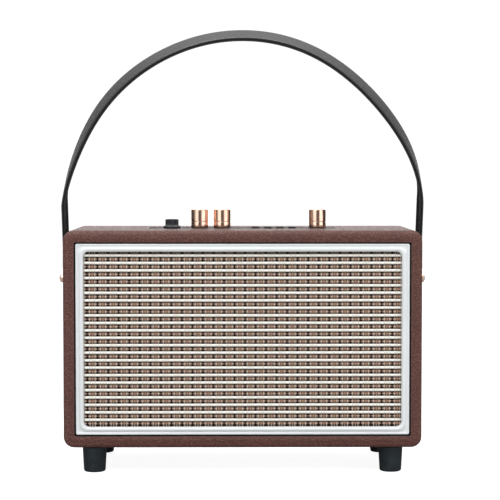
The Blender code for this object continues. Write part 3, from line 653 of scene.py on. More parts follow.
SPARSE, EVEN = (1, 1, 0.3), (1, 1, 1)  # stretches of a grain along z
PAINTS = {
    "leather": leather_paint(),
    "strap_leather": strap_paint(),
    "wood": fibre_paint("wood", (0.45, 0.30, 0.17), (0.33, 0.21, 0.12), 0.75),
    "black_board": fibre_paint(
        "black_board", (0.016, 0.016, 0.017), (0.028, 0.027, 0.027), 0.72, SPARSE
    ),
    "satin_silver": bezel_paint(),
    "copper": metal_paint("copper", (0.93, 0.62, 0.48), 0.10, (1, 1, 0.12), 0.006),
    "black_plastic": moulded_paint(
        "black_plastic", (0.010, 0.012, 0.016), 0.30, dust=0.06, specular=0.4
    ),
    "black_metal": moulded_paint(
        "black_metal", (0.016, 0.017, 0.019), 0.50, grain=0.25, specular=0.08
    ),
    "steel": metal_paint("steel", (0.55, 0.56, 0.58), 0.30, (1, 0.2, 1), 0.015),
    "ferrite": moulded_paint("ferrite", (0.07, 0.07, 0.078), 0.60, grain=0.5, depth=0.05),
    "paper_cone": fibre_paint(
        "paper_cone", (0.035, 0.035, 0.036), (0.06, 0.058, 0.055), 0.85, EVEN, 0.1
    ),
    "rubber": moulded_paint(
        "rubber", (0.007, 0.011, 0.013), 0.62, grain=0.5, depth=0.03, dust=0.06, specular=0.25
    ),
    "circuit_board": board_paint(),
    "battery_wrap": wrap_paint(),
    # the sheet behind the yarns is near black: painted shade where the weave's holes show the dim inside
    "grille_cloth": fibre_paint(
        "grille_shade_sheet", (0.010, 0.006, 0.004), (0.02, 0.013, 0.009), 0.95, EVEN, 0.1
    ),
}
STUD_PAINT = metal_paint("satin_copper", (0.88, 0.64, 0.54), 0.36, SPARSE, 0.01)
# each yarn's second colour is the painted shade in its twist's grooves
CORD_PAINT = yarn_paint("cream_cord", (0.93, 0.925, 0.88), (0.60, 0.57, 0.50), 4.0)
PALE_WARP_PAINT = yarn_paint("pale_warp", (0.60, 0.50, 0.42), (0.33, 0.25, 0.19), 1.6, 2.0)
DARK_WARP_PAINT = yarn_paint("dark_warp", (0.030, 0.012, 0.008), (0.008, 0.003, 0.002), 1.8, 2.0)
WEFT_PAINT = yarn_paint(
    "tan_weft", (0.38, 0.22, 0.15), (0.16, 0.085, 0.052), 2.6, beside_dark=(0.46, 0.35, 0.285)
)


def paint_carried_nodes():
    """Every CAD node gets its slot's material; the ones that are replaced are hidden later."""
    for node, obj in frame["nodes"].items():
        obj.data.materials.clear()
        obj.data.materials.append(PAINTS[SLOT_OF[node]])


# ------------ leather wrap


def opening_ring(grow, y, wear_and_highlight=0.0):
    """A ring round the bezel's opening, grown outwards from it."""
    half_x, half_z = BEZEL[0] + BEZEL_GAP, BEZEL[1] + BEZEL_GAP
    return half_x + grow, half_z + grow, OPENING_RADIUS + max(grow, 0), y, wear_and_highlight


def outer_ring(inset, y, wear_and_highlight=0.0):
    """A ring round the cabinet's outside, set in from it."""
    return WIDTH / 2 - inset, HEIGHT / 2 - inset, CORNER_RADIUS - inset, y, wear_and_highlight


def face_rings(face, side):
    """From inside an opening over its lip, the padded border and the rounded edge to the side."""
    lip_steps, border_steps, edge_steps = 4, 6, 7
    rings = [opening_ring(0, face - side * TURN_IN), opening_ring(0, face - side * 3)]
    for step in range(lip_steps + 1):
        angle = math.pi / 2 * step / lip_steps
        down = BORDER_CROWN + LIP * (1 - math.sin(angle))
        rings.append(opening_ring(LIP * (1 - math.cos(angle)), face - side * down, 0.3))
    start = (BEZEL[0] + BEZEL_GAP + LIP, OPENING_RADIUS + LIP)
    end = (WIDTH / 2 - EDGE_RADIUS, CORNER_RADIUS - EDGE_RADIUS)
    for step in range(1, border_steps):
        share = step / border_steps
        out = start[0] + (end[0] - start[0]) * share
        radius = start[1] + (end[1] - start[1]) * share
        down = BORDER_CROWN * (2 * share - 1) ** 2
        rings.append((out, out + HEIGHT / 2 - WIDTH / 2, radius, face - side * down, 0.0))
    for step in range(edge_steps + 1):
        angle = math.pi / 2 * step / edge_steps
        down = BORDER_CROWN + (EDGE_RADIUS - BORDER_CROWN) * (1 - math.cos(angle))
        inset = EDGE_RADIUS * (1 - math.sin(angle))
        rings.append(outer_ring(inset, face - side * down, math.sin(2 * angle)))
    return rings


def leather_section():
    """Rings round the leather's section: (half x, half z, corner radius, y, how much edge wear and painted
    highlight).
    """
    depth_steps = 58
    low, high = FRONT_Y + EDGE_RADIUS, REAR_Y - EDGE_RADIUS
    rings = face_rings(FRONT_Y, -1)
    for step in range(1, depth_steps):
        rings.append(outer_ring(0, low + (high - low) * step / depth_steps))
    rings += reversed(face_rings(REAR_Y, 1))
    rings += [
        opening_ring(LEATHER, REAR_Y - TURN_IN), opening_ring(LEATHER + 1, REAR_Y - LEATHER - 1),
        outer_ring(LEATHER, high), outer_ring(LEATHER, low),
        opening_ring(LEATHER + 1, FRONT_Y + LEATHER + 1), opening_ring(LEATHER, FRONT_Y + TURN_IN),
    ]
    return rings


def leather_relief(point):
    """How far the leather lies under its true surface at a point, in millimetres."""
    soft = noise.fractal(Vector(point) / 24.0, 1.0, 2.0, 3)
    wrinkle = abs(noise.noise(Vector((point[0] / 9.0, point[1] / 3.0, point[2] / 9.0))))
    return 0.07 + 0.05 * soft + 0.05 * (1 - min(1.0, wrinkle * 5))


def plate_window():
    """Cuts the control plate's opening, flared at the top where the leather turns in."""
    clear, flare, corner = 0.4, 0.7, 2.4
    half = half_size("control_plate") + clear
    levels = [(0.0, HEIGHT - 4)]
    for angle in np.linspace(0, math.pi / 2, 5):
        levels.append((-flare * (1 - math.cos(angle)), HEIGHT - flare + flare * math.sin(angle)))
    levels.append((-flare, HEIGHT + 2))
    return slab(half[0], half[1], corner, levels)


def make_leather_wrap():
    rings = leather_section()
    corner_steps, steps_x, steps_z, sharp = 8, 80, 136, 60.0
    rows = []
    for half_x, half_z, radius, y, _ in rings:
        outline = rounded_rectangle(half_x, half_z, radius, corner_steps, steps_x, steps_z)
        rows.append([(x, y, MIDDLE_Z + z) for x, z in outline])
    mesh = make_mesh([grid(rows, wrap_rows=True)], sharp)
    columns = len(rows[0])
    # edge: how much rubbed wear and painted highlight each ring takes
    set_attribute(mesh, "edge", np.repeat([ring[4] for ring in rings], columns))
    gap_end = BEZEL[0] + BEZEL_GAP + 0.4
    in_gap = [ring[0] < gap_end and abs(ring[3]) < DEPTH / 2 - 0.05 for ring in rings]
    set_attribute(mesh, "shadow", np.repeat(in_gap, columns))
    normals = [vertex.normal.copy() for vertex in mesh.vertices]
    for vertex, normal in zip(mesh.vertices, normals):
        vertex.co -= normal * leather_relief(vertex.co / MM) * MM
    show("leather_wrap", smooth(cut(mesh, plate_window()), sharp))


# ------------ bezel and grille cloth


def bezel_section():
    """Round the bezel's section: (inset from the outer edge, y), a valley and a round ridge."""
    face, back = BEZEL_FACE_Y, BEZEL_BACK_Y
    lip = [(0.0, back), (0.0, face), (1.5, face - 0.05)]
    valley = [(2.1, face + 0.75), (2.9, face + 0.05)]
    ridge = [(3.9, face - 0.70), (4.9, face - 0.76), (5.8, face - 0.30), (6.4, face + 0.7)]
    inside = [(BEZEL_WIDTH, face + 1.6), (BEZEL_WIDTH, back)]
    return filleted(lip + valley + ridge + inside, 0.7, steps=4, closed=True)


def bezel_corner(inset):
    """Corner radius of the bezel at an inset: nearly square outside, round from the valley in."""
    share = min(1.0, max(0.0, (inset - 1.4) / 1.6))
    blend = share * share * (3 - 2 * share)
    return (1.3 - 0.3 * inset) * (1 - blend) + (8.2 - 0.55 * inset) * blend


def make_bezel():
    rings = []
    for inset, y in bezel_section():
        rings.append((BEZEL[0] - inset, BEZEL[1] - inset, max(bezel_corner(inset), 0.3), y))
    show("front_bezel", loft(rings, (0, 0, MIDDLE_Z), corner_steps=14), "bezel_fine")


def tube(centres, wide, thick, across, sides):
    """A yarn: elliptic rings round centres, wide along across and thick along the cloth's depth."""
    angles = np.arange(sides) / sides * 2 * math.pi
    across, depth = np.array(across, float), np.array((0.0, -1.0, 0.0))
    ring = np.cos(angles)[None, :, None] * across * wide[:, None, None]
    ring = ring + np.sin(angles)[None, :, None] * depth * thick[:, None, None]
    return centres[:, None, :] + ring


class Weave:
    """Where the cloth's yarns lie. Heights are in front of the dark sheet of painted shade behind them."""

    def __init__(self):
        self.low, self.high = box("grille_cloth")
        self.back_y = self.high[1] - SHADE_SHEET
        self.opening_x = BEZEL[0] - BEZEL_WIDTH
        self.opening_z = (MIDDLE_Z - BEZEL[1] + BEZEL_WIDTH, MIDDLE_Z + BEZEL[1] - BEZEL_WIDTH)
        self.cord_z = [self.opening_z[1] - TOP_CORD_DROP - i * CORD_PITCH for i in range(CORDS)]
        half = int(self.opening_x / WARP_PITCH) + 2
        warps = [(i, i * WARP_PITCH + WARP_SHIFT) for i in range(-half, half + 1)]
        self.warp_x = [(i % 4, x) for i, x in warps if abs(x) < self.high[0] - 1]
        self.random = random.Random(11)

    def sink(self, x, z):
        """How far yarns lie back where the bezel presses on them, 0 inside the opening to 1."""
        margin, run = 0.6, 1.6
        out = np.maximum(np.abs(x) - self.opening_x + margin, self.opening_z[0] + margin - z)
        out = np.maximum(out, z - self.opening_z[1] + margin)
        return np.clip(out / run, 0, 1)

    def place(self, x, z, height):
        """Points at a height over the backing, pressed back under the bezel."""
        x, z, height = np.broadcast_arrays(np.asarray(x, float), z, height)
        pressed = height * (1 - 0.62 * self.sink(x, z))
        return np.stack([x, self.back_y - pressed, z], axis=-1)

    def jitter(self, size):
        return self.random.uniform(-size, size)


def show_yarns(name, tubes, paint):
    show("grille_cloth", make_mesh(tubes, sharp=80), name, paint)


def make_cords(weave):
    """Cream cords, pinched where a pale warp ties them. The dark warps run behind them."""
    tie_half = 0.34
    tubes = []
    for z in weave.cord_z:
        x, wide = [], []
        for place, warp in weave.warp_x:
            tied = place != DARK
            x += [warp - tie_half, warp, warp + tie_half, warp + WARP_PITCH / 2]
            pinch = 0.80 + weave.jitter(0.03) if tied else 0.98
            side = 0.93 if tied else 1.0
            wide += [CORD_RADIUS * side, CORD_RADIUS * pinch, CORD_RADIUS * side, CORD_RADIUS]
        x, wide = np.array(x), np.array(wide)
        wander = weave.jitter(0.05) + 0.05 * np.sin(x / 37.0 + weave.jitter(3.0))
        press = 1 - 0.35 * weave.sink(x, np.full_like(x, z))
        centres = weave.place(x, z + wander, 1.35)
        points = tube(centres, wide, wide * press, (0, 0, 1), 8)
        tubes.append(grid(points, capped=True, lengths=x))
    show_yarns("grille_cords", tubes, CORD_PAINT)


def warp_stations(weave):
    """The warps' bends: (z, kind of place) from below the first cord to above the last."""
    shares = ((0.0, "cord"), (0.15, "beside"), (0.26, "hole"), (0.5, "row"), (0.74, "hole"),
              (0.85, "beside"))
    lowest = weave.cord_z[-1] - CORD_PITCH
    stations = []
    for row in range(CORDS + 1):
        foot = lowest + row * CORD_PITCH
        stations += [(foot + share * CORD_PITCH, kind) for share, kind in shares]
    return [(z, kind) for z, kind in stations if weave.low[2] + 0.5 < z < weave.high[2] - 0.5]


def make_warps(weave):
    """Pale warps tie the cords down; every fourth warp is dark and flat."""
    stations = warp_stations(weave)
    z = np.array([station[0] for station in stations])
    kinds = [station[1] for station in stations]
    tied = {"cord": (2.32, 0.24), "beside": (1.75, 0.26), "hole": (0.85, 0.30), "row": (1.22, 0.44)}
    centre = {"cord": (2.32, 0.22), "beside": (1.7, 0.26), "hole": (0.7, 0.30), "row": (0.35, 0.30)}
    flat = {"cord": (0.15, 0.6), "beside": (0.35, 0.75), "hole": (0.8, 0.80), "row": (1.15, 0.55)}
    pale, dark = [], []
    for place, x in weave.warp_x:
        shapes = {DARK: flat, CENTRE: centre}.get(place, tied)  # (height, half width) at each kind
        height = np.array([shapes[kind][0] for kind in kinds])
        wide = np.array([shapes[kind][1] + weave.jitter(0.03) for kind in kinds])
        wander = weave.jitter(0.08) + np.array([weave.jitter(0.05) for _ in kinds])
        centres = weave.place(x + wander, z, height)
        thick = np.minimum(wide, 0.30) * (1 - 0.4 * weave.sink(np.full_like(z, x), z))
        points = tube(centres, wide, thick, (1, 0, 0), 6)
        (dark if place == DARK else pale).append(grid(points, capped=True, lengths=z))
    show_yarns("grille_pale_warps", pale, PALE_WARP_PAINT)
    show_yarns("grille_dark_warps", dark, DARK_WARP_PAINT)


def make_wefts(weave):
    """One flat tan yarn between each two cords: under the outer warps and over the middle one."""
    tubes = []
    for row_z in [z - CORD_PITCH / 2 for z in weave.cord_z]:
        x, height, wide = [], [], []
        for place, warp in weave.warp_x:
            x += [warp, warp + WARP_PITCH / 2]
            height += [{DARK: 0.55, CENTRE: 0.95}.get(place, 0.6), 0.75]
            narrow = {DARK: 0.50, CENTRE: 0.85}.get(place, 0.70) + weave.jitter(0.06)
            between = 0.84 if place in (1, CENTRE) else 0.72
            wide += [narrow, between + weave.jitter(0.05)]
        x, height, wide = np.array(x), np.array(height), np.array(wide)
        wander = weave.jitter(0.06) + 0.06 * np.sin(x / 21.0 + weave.jitter(3.0))
        centres = weave.place(x, row_z + wander, height)
        thick = 0.40 * (1 - 0.4 * weave.sink(x, np.full_like(x, row_z)))
        points = tube(centres, wide, thick, (0, 0, 1), 8)
        tubes.append(grid(points, capped=True, lengths=x))
    show_yarns("grille_wefts", tubes, WEFT_PAINT)


def make_grille_cloth():
    weave = Weave()
    half_x, half_z = weave.high[0], (weave.high[2] - weave.low[2]) / 2
    corner, round_edge = 2, 0.1
    rings = [
        (half_x, half_z, corner, weave.high[1]),
        (half_x, half_z, corner, weave.back_y + round_edge),
        (half_x - round_edge, half_z - round_edge, corner, weave.back_y),
    ]
    # the CAD cloth becomes a near-black sheet of painted shade behind the yarns
    show("grille_cloth", loft(rings, (0, 0, MIDDLE_Z), closed=False), "grille_shade_sheet")
    make_cords(weave)
    make_warps(weave)
    make_wefts(weave)


# ------------ handle


def strap_line():
    """The strap's centre line, left to right: (x, height over the studs, end angle in degrees)."""
    _, high = box("handle_strap")
    half_width = high[0] - STRAP_CORE / 2
    reach = (high[2] - PIVOT_Z - STRAP_WIDTH / 2 * math.sin(STRAP_LEAN)) / math.cos(STRAP_LEAN)
    rise = reach - STRAP_CORE / 2 - ARCH_SPRING
    straight_steps, arch_steps = 16, 70
    half = [(half_width, 0.0, angle) for angle in range(0, 90, 10)]
    half += [(half_width, ARCH_SPRING * step / straight_steps, 90) for step in range(straight_steps)]
    for step in range(arch_steps):
        turn = math.pi / 2 * step / arch_steps
        x = half_width * math.cos(turn) ** (2 / ARCH_POWERS[0])
        height = ARCH_SPRING + rise * math.sin(turn) ** (2 / ARCH_POWERS[1])
        half.append((x, height, 90))
    apex = (0.0, ARCH_SPRING + rise, 90)
    return [(-x, height, angle) for x, height, angle in half] + [apex] + half[::-1]


def strap_section():
    """Half of the strap's section: (inset from the edge, height, how much of an edge)."""
    half, width, radius, crown = STRAP_THICKNESS / 2, STRAP_WIDTH / 2, 0.85, 0.22
    points = []
    for inset in (width, width * 0.8, width * 0.6, width * 0.4, width * 0.22, 1.6):
        across = 1 - inset / width
        points.append((inset, half - crown * across * across * 0.6, 0.0))
    top = half - crown * 0.55
    points += [(radius - x, y, 0.6) for x, y in arc((0, top - radius), radius, 90, 0, 5)]
    points += [(0.12, 0.18, 1.0), (0.26, 0.0, 1.0), (0.12, -0.18, 1.0)]
    points += [(radius - x, y, 0.6) for x, y in arc((0, -half + radius), radius, 0, -90, 5)]
    points += [(inset, -half, 0.0) for inset in (1.6, width * 0.22, width * 0.5, width)]
    return points


def strap_outline():
    """All round the strap's section, as in strap_section and with the side of its middle."""
    section = strap_section()
    return [(*point, 1) for point in section] + [(*point, -1) for point in section[-2:0:-1]]


def strap_row(station, along, share, outline):
    """The section at a station of the line; share is how far up the arch the station lies."""
    x, height, angle = station
    turn, out = math.radians(angle), (-along[1], along[0])
    twist = STRAP_TWIST * math.sin(math.pi * share)
    sway = STRAP_SWAY * math.sin(2 * math.pi * share)
    row = []
    for inset, rise, _, side in outline:
        reach = STRAP_WIDTH / 2 - inset
        flat = -side * reach * math.sin(turn)
        across = flat * math.cos(twist) - rise * math.sin(twist)
        rise = rise * math.cos(twist) + flat * math.sin(twist)
        down = reach * math.cos(turn)
        row.append((x + sway + out[0] * rise, across, height + out[1] * rise - down))
    return row


def strap_rows(line, outline):
    """The strap's points before it leans back, and each row's distance along it."""
    apex = max(height for _, height, _ in line)
    rows, lengths, run = [], [], 0.0
    for i, (x, height, angle) in enumerate(line):
        before, after = line[max(i - 1, 0)], line[min(i + 1, len(line) - 1)]
        along = np.array((after[0] - before[0], after[1] - before[1]))
        if angle < 90:
            along = np.array((0.0, 1.0 if x < 0 else -1.0))
        share = min(1.0, max(0.0, (height - ARCH_SPRING) / (apex - ARCH_SPRING)))
        rows.append(strap_row(line[i], along / np.linalg.norm(along), share, outline))
        run += math.hypot(x - before[0], height - before[1])
        lengths.append(run)
    return np.array(rows), lengths


def make_strap():
    line, outline = strap_line(), strap_outline()
    points, lengths = strap_rows(line, outline)
    y, z = points[..., 1].copy(), points[..., 2].copy()
    points[..., 1] = y * math.cos(STRAP_LEAN) - z * math.sin(STRAP_LEAN)
    points[..., 2] = y * math.sin(STRAP_LEAN) + z * math.cos(STRAP_LEAN) + PIVOT_Z
    widths = [side * (STRAP_WIDTH / 2 - inset) for inset, _, _, side in outline]
    mesh = make_mesh([grid(points, lengths=lengths, widths=widths)], sharp=50)
    set_attribute(mesh, "edge", np.tile([edge for _, _, edge, _ in outline], len(line)))
    inner = 0.01 - STRAP_THICKNESS / 2
    set_attribute(mesh, "inner_face", np.tile([rise < inner for _, rise, _, _ in outline], len(line)))
    clean(mesh, 1e-6)
    inside, outside = 145, 165  # x of the drill's ends, on either side of the strap's end
    holes = []
    for facing in ("left", "right"):
        holes.append(drill(STUD_HOLE, inside, outside, (0, 0, PIVOT_Z), 32, facing))
    show("handle_strap", cut(mesh, *holes))


def make_studs():
    """Domed screw heads with a slot, on a shank through the strap into the cabinet."""
    head_height, shank, slot_depth = 4.8, 2.4, 0.8
    for facing, side, tilt in (("left", -1, -6), ("right", 1, 9)):
        node = f"handle_stud_{facing}"
        root, tip = sorted(abs(corner[0]) for corner in box(node))
        face = tip - head_height
        profile = dome(STUD_HEAD_RADIUS, tip, 2.0, 9)
        profile += [(STUD_HEAD_RADIUS, face), (shank, face), (shank, root), (0, root)]
        stud = turned(profile, (0, 0, PIVOT_Z), 48, facing=facing, edge=0.15)
        slot = slab(6.0, 0.45, 0.3, ((0, -5), (0, 5)))
        slot.transform(to_stud_head(side * (tip + 5 - slot_depth), tilt))
        show(node, cut(stud, slot), paint=STUD_PAINT)


def to_stud_head(x, tilt):
    """Takes a slot cutter made round the cabinet's origin to a stud's head, tilted in degrees."""
    to_head = Matrix.Translation((Vector(ORIGIN) + Vector((x, 0, PIVOT_Z))) * MM)
    tilted = Matrix.Rotation(math.radians(tilt), 4, "X")
    upright = Matrix.Rotation(math.radians(90), 4, "Y")
    return to_head @ tilted @ upright @ Matrix.Translation(-Vector(ORIGIN) * MM)


# ------------ top controls


def hole_down(node, radius):
    """A cutter through the control plate for a node that stands in it."""
    return drill(radius, HEIGHT - 10, HEIGHT + 10, (middle(node)[0], 0, 0), 40)


def make_control_plate():
    low, high = box("control_plate")
    half = half_size("control_plate")
    levels = [(0, low[2]), (0, high[2] - 0.35), (0.12, high[2] - 0.1), (0.35, high[2])]
    holes = [hole_down(f"{name}_knob", 3.9) for name in KNOBS]
    holes += [hole_down(f"{name}_button", 3.9) for name in BUTTONS]
    holes.append(hole_down("microphone_jack_nut", JACK_HOLE))
    plate = cut(slab(half[0], half[1], 2.0, levels), *holes)
    show("control_plate", softened(plate, 0.18))


def knob_profile(radius, height):
    """A knob from its crown down its side to the bore for the shaft."""
    r, h, round_edge, groove = radius, height, 0.7, 0.28
    crown = [(0, h - 0.25), (r - 2.2, h - 0.2), (r - 1.5, h), (r - round_edge, h)]
    crown += arc((r - round_edge, h - round_edge), round_edge, 80, 0, 5)
    side = [(r, h - 0.9 - (h - 7.2) * step / 6) for step in range(7)]
    band = [(r, 5.95), (r - groove, 5.72), (r - groove, 5.42), (r, 5.2), (r, 0.5), (r - 0.35, 0)]
    bore = [(4.2, 0), (4.2, 2.5), (3.3, 2.5), (3.3, 13), (0, 13)]
    return crown + side + band + bore


def make_knobs():
    """Polished knobs: a smooth band, a groove and an upper part with very shallow flutes."""
    for name in KNOBS:
        node = f"{name}_knob"
        low, high = box(node)
        centre, height = middle(node), high[2] - low[2]
        profile = knob_profile(half_size(node)[0], height)
        flutes = (72, 0.012, 6.0, height - 0.8)
        mesh = turned(profile, (centre[0], centre[1], low[2]), 288, flutes=flutes, edge=0.08)
        axis = (Vector(centre) + Vector(ORIGIN)) * MM
        top = (high[2] - 0.6 + ORIGIN[2]) * MM
        from_axis = [(v.co - axis).xy.length / MM if v.co.z > top else 0.0 for v in mesh.vertices]
        set_attribute(mesh, "radius", from_axis)
        show(node, mesh)


def make_buttons():
    """Round caps with a dished top, on a collar and a stem."""
    radius, collar, stem = 3.6, 4.6, 2
    for name in BUTTONS:
        node = f"{name}_button"
        low, high = box(node)
        x, y, _ = middle(node)
        foot, top = low[2], high[2]
        profile = [
            (0, top - 0.28), (radius * 0.45, top - 0.22), (radius * 0.72, top - 0.02),
            (radius - 0.7, top), (radius, top - 0.4), (radius, top - 4.3), (collar, top - 4.3),
            (collar, top - 5.6), (stem, top - 5.6), (stem, foot), (0, foot),
        ]
        show(node, turned(profile, (x, y, 0), 48, edge=0.3))


def make_jack():
    """The ribbed nut and the sleeve inside it."""
    nut, body = "microphone_jack_nut", "microphone_jack_body"
    low, high = box(nut)
    x, y, _ = middle(nut)
    foot, top, flange, collar = low[2], high[2], half_size(nut)[0], 5.8
    profile = [(JACK_HOLE, foot), (flange, foot), (flange, foot + 1.5), (collar + 0.35, foot + 2.5)]
    profile += [(collar, foot + 2.9 + 4.4 * step / 4) for step in range(5)]
    profile += [(collar - 0.5, top), (JACK_HOLE, top)]
    flutes = (18, 0.45, foot + 2.7, top - 0.15)
    show(nut, turned(profile, (x, y, 0), 216, closed=True, flutes=flutes, edge=0.18))
    low, high = box(body)
    foot, top = low[2], high[2]
    case, sleeve, bore, shoulder, bottom = 8, 4.4, 3.25, 178.9, 160
    profile = [(0, foot), (case, foot), (case, shoulder), (sleeve, shoulder), (sleeve, top),
               (bore, top), (bore, bottom), (0, bottom)]
    show(body, turned(profile, (x, y, 0), 64, edge=0.2))


# ------------ rear


def make_rear_screws():
    """Domed screws with a cross recess, each stopped at another angle."""
    head, shank = 1.9, 1.2
    for number in range(1, 7):
        node = f"rear_panel_screw_{number}"
        (_, tip, _), (_, top, _) = box(node)
        x, _, z = middle(node)
        profile = dome(3.0, top, head, 8) + [(shank, top - head), (shank, tip + 1.5), (0, tip)]
        mesh = turned(profile, (x, 0, z), 40, facing="rear", edge=0.05)
        turn = math.radians(17 + 41 * number)
        show(node, cut(mesh, *[cross_bar((x, top, z), turn + more) for more in (0, math.pi / 2)]))


def cross_bar(at, turn):
    """One bar of a cross recess: a wedge that narrows as it goes down."""
    rows = []
    for depth, long, wide in ((1.0, 1.75, 0.34), (-1.3, 0.7, 0.16)):
        row = []
        for u, v in ((long, wide), (-long, wide), (-long, -wide), (long, -wide)):
            x = u * math.cos(turn) - v * math.sin(turn)
            z = u * math.sin(turn) + v * math.cos(turn)
            row.append((at[0] + x, at[1] + depth, at[2] + z))
        rows.append(row)
    return make_mesh([grid(rows, capped=True)])


def make_port():
    """A tube with a flange and a flared mouth."""
    node, flange_width, wall, flare = "bass_port_tube", 7, 1.8, 5
    (_, back, _), (_, front, _) = box(node)
    x, _, z = middle(node)
    flange = half_size(node)[0]
    outer, seat = flange - flange_width, front - 2
    bore = outer - wall
    profile = [(outer, back), (outer, seat), (flange, seat), (flange, front - 0.9)]
    profile += [(flange - 1.2, front)] + arc((bore + flare, front - flare), flare, 90, 180, 10)
    profile.append((bore, back))
    show(node, turned(profile, (x, 0, z), 96, closed=True, facing="rear", edge=0.3))


def rear_hole(node, half_x, half_z, radius):
    """A cutter through the connector plate for a node that stands in it."""
    x, _, z = middle(node)
    rings = [(half_x, half_z, radius, y) for y in (50, 70)]
    return loft(rings, (x, 0, z), closed=False)


def make_connector_plate():
    low, high = box("connector_plate")
    x, _, z = middle("connector_plate")
    half_x, _, half_z = half_size("connector_plate")
    plate = loft([(half_x, half_z, 3, y) for y in (low[1], high[1])], (x, 0, z), closed=False)
    holes = [
        rear_hole("rocker_switch_frame", 6.7, 10.0, 0.5),
        rear_hole("dc_socket", 5.8, 5.8, 5.79),
        rear_hole("usb_socket", 7.6, 3.8, 0.5),
        rear_hole("aux_socket", 4.3, 4.3, 4.29),
    ]
    show("connector_plate", softened(cut(plate, *holes), 0.3))


def make_power_switch():
    """The switch's frame: a body, a rounded flange and a hollow for the rocker."""
    node, hollow_floor = "rocker_switch_frame", 51.5
    (_, back, _), (_, top, _) = box(node)
    x, _, z = middle(node)
    half_x, _, half_z = half_size(node)
    rings = []
    for inset_x, inset_z, radius, y in (
        (1.1, 1.5, 0.6, back), (1.1, 1.5, 0.6, top - 1.2), (0, 0, 1.4, top - 1.2),
        (0, 0, 1.4, top - 0.5), (0.25, 0.25, 1.3, top - 0.1), (0.7, 0.7, 1.1, top),
        (1.9, 1.9, 0.7, top), (2.2, 2.2, 0.5, top - 0.3), (2.2, 2.2, 0.5, hollow_floor),
    ):
        rings.append((half_x - inset_x, half_z - inset_z, radius, y))
    show(node, loft(rings, (x, 0, z), closed=False))
    show("power_rocker", rocker_mesh(joint_place("power_switch")))


def rocker_mesh(pivot):
    """A rocker with a hollow face and rounded edges, tilted off level at rest."""
    tilt, half_x, half_z = math.radians(-9.0), 4.9, 8.0
    waist, ends, steps = 3.0, 1.3, 12
    shares = [step / steps for step in range(steps, -steps - 1, -1)]
    face = [(waist + ends * abs(share) ** 1.6, half_z * share) for share in shares]
    foot = [(-1, -half_z), (-2.2, -5), (-2.2, 5), (-1, half_z)]
    outline = filleted(face + foot, 0.35, closed=True)
    rows = []
    for side in (-1, 1):
        for inset_x, inset in ((0, 0.4), (0.12, 0.12), (0.4, 0))[::-side]:
            row = []
            for y, z in outline:
                y, z = y - inset * np.sign(y - 0.5), z - inset * np.sign(z)
                turned_y = y * math.cos(tilt) - z * math.sin(tilt)
                turned_z = y * math.sin(tilt) + z * math.cos(tilt)
                row.append((pivot[0] + side * (half_x - inset_x), pivot[1] + turned_y,
                            pivot[2] + turned_z))
            rows.append(row)
    return make_mesh([grid(rows, capped=True)], sharp=50)


def make_sockets():
    """Round sockets: a body behind the plate, a flange on it and a bore with its pin or its end."""
    plate = box("connector_plate")[1][1]
    pin = [(3.2, 51), (1.1, 51), (1.0, plate - 0.6), (0, plate - 0.3)]
    end = [(1.8, 48), (0, 48)]
    for node, body, flange, inside in (("dc_socket", 5.4, 6.6, pin), ("aux_socket", 3.9, 5.2, end)):
        (_, back, _), (_, front, _) = box(node)
        x, _, z = middle(node)
        profile = [(0, back), (body, back), (body, plate + 0.3), (flange, plate + 0.3),
                   (flange, front), (inside[0][0], front)]
        show(node, turned(profile + inside, (x, 0, z), 64, facing="rear", edge=0.3))


# ------------ feet


def make_feet():
    """Tapered rubber feet with a round edge, and the screw in each foot's recess."""
    taper, round_edge, bore, recess, recess_top, head = 1.1, 1.8, 2.2, 4.0, -7.2, 3.5
    for place in ("front_left", "front_right", "rear_left", "rear_right"):
        node, screw = f"foot_{place}", f"foot_screw_{place}"
        (_, _, tip), (_, _, seat) = box(node)
        x, y, _ = middle(node)
        top, edge = half_size(node)[0], tip + round_edge
        bottom = top - taper
        profile = [(bore, seat)]
        profile += [(top - (top - bottom) * k / 5, seat + (edge - seat) * k / 5) for k in range(6)]
        profile += arc((bottom - round_edge, edge), round_edge, 0, -90, 6)[1:]
        profile += [(recess, tip), (recess, recess_top), (bore, recess_top)]
        show(node, turned(profile, (x, y, 0), 72, closed=True, edge=0.25))
        (_, _, low), (_, _, high) = box(screw)
        profile = [(0, low), (2.2, low + 0.2), (head, low + 1.2), (head, low + 2.7),
                   (1.7, low + 2.7), (1.7, high - 1.5), (0, high)]
        show(screw, turned(profile, (x, y, 0), 40, edge=0.2))


# ------------ studio


def make_floor():
    """A wide sheet of pale paper under the feet, in metres."""
    line = np.linspace(-FLOOR_REACH, FLOOR_REACH, 13)
    points = np.array([[(x, y, 0.0) for x in line] for y in line]) / MM - ORIGIN
    floor = linked("floor", make_mesh([grid(points, wrap_columns=False)]))
    floor.data.materials.append(floor_paint())


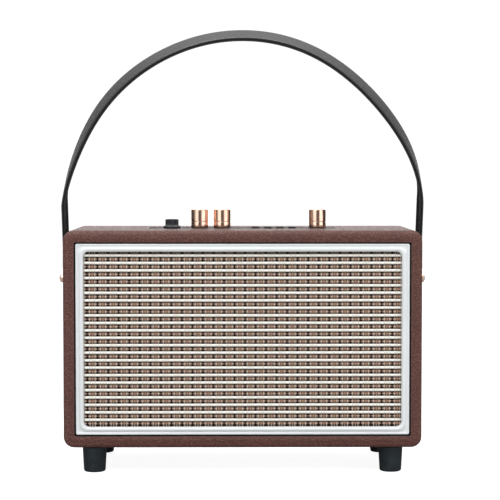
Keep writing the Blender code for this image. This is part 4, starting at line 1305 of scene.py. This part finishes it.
def make_world():
    """White behind the object; what lights it is a ring of greys, darker towards the camera."""
    world = bpy.data.worlds.new("studio")
    bpy.context.scene.world = world
    world.use_nodes = True
    world.node_tree.nodes.clear()
    w = Nodes(world.node_tree)
    seen_from = w.node("ShaderNodeTexCoord").outputs["Generated"]
    x, y, z = w.node("ShaderNodeSeparateXYZ", {0: seen_from}).outputs
    azimuth = w.math("ARCTAN2", x, w.times(y, -1.0))
    ring = w.node("ShaderNodeValToRGB", {0: w.range(azimuth, -math.pi, math.pi)})
    fill_ramp(ring.color_ramp, RING_GREYS)
    limits = {"Value": z, "From Min": 0.35, "From Max": 0.85}
    high = w.node("ShaderNodeMapRange", limits, interpolation_type="SMOOTHSTEP").outputs[0]
    overhead = SKY_GREY / RING_STRENGTH
    around = w.mix(high, ring.outputs[0], (overhead, overhead, overhead))
    lit = w.node("ShaderNodeBackground", {"Color": around, "Strength": RING_STRENGTH})
    white = w.node("ShaderNodeBackground", {"Color": (1, 1, 1, 1), "Strength": 1.05})
    camera_ray = w.node("ShaderNodeLightPath").outputs["Is Camera Ray"]
    shaders = {0: camera_ray, 1: lit.outputs[0], 2: white.outputs[0]}
    both = w.node("ShaderNodeMixShader", shaders).outputs[0]
    w.node("ShaderNodeOutputWorld", {"Surface": both})


def fill_ramp(ramp, stops):
    """Stops by azimuth in degrees, 0 towards the camera. A stop holds a share of the strength."""
    while len(ramp.elements) > 1:
        ramp.elements.remove(ramp.elements[0])
    for number, (azimuth, brightness) in enumerate(stops):
        at, grey = (azimuth + 180) / 360, brightness / RING_STRENGTH
        element = ramp.elements[0] if number == 0 else ramp.elements.new(at)
        element.position = at
        element.color = (grey, grey, grey, 1.0)


def make_lamps():
    for name, at, aim, size, watts, mirrored in LAMPS:
        data = bpy.data.lights.new(name, "AREA")
        data.shape = "RECTANGLE"
        data.size, data.size_y = size
        data.energy = watts
        lamp = linked(name, data)
        lamp.location = at
        lamp.rotation_euler = (Vector(aim) - Vector(at)).to_track_quat("-Z", "Y").to_euler()
        lamp.visible_glossy = mirrored
        lamp.visible_camera = False


def make_camera():
    data = bpy.data.cameras.new("camera")
    data.sensor_width = 36.0
    data.lens = CAMERA_LENS
    camera = linked("camera", data)
    bpy.context.scene.camera = camera
    camera.location = CAMERA_PLACE
    pitch, yaw = math.radians(CAMERA_PITCH), math.radians(CAMERA_YAW)
    level = math.cos(pitch)
    look = Vector((math.sin(yaw) * level, math.cos(yaw) * level, -math.sin(pitch)))
    camera.rotation_euler = look.to_track_quat("-Z", "Y").to_euler()


paint_carried_nodes()
make_leather_wrap()
make_bezel()
make_grille_cloth()
make_strap()
make_studs()
make_control_plate()
make_knobs()
make_buttons()
make_jack()
make_rear_screws()
make_port()
make_connector_plate()
make_power_switch()
make_sockets()
make_feet()
make_floor()
make_world()
make_lamps()
make_camera()
bpy.context.scene.view_settings.view_transform = "Standard"
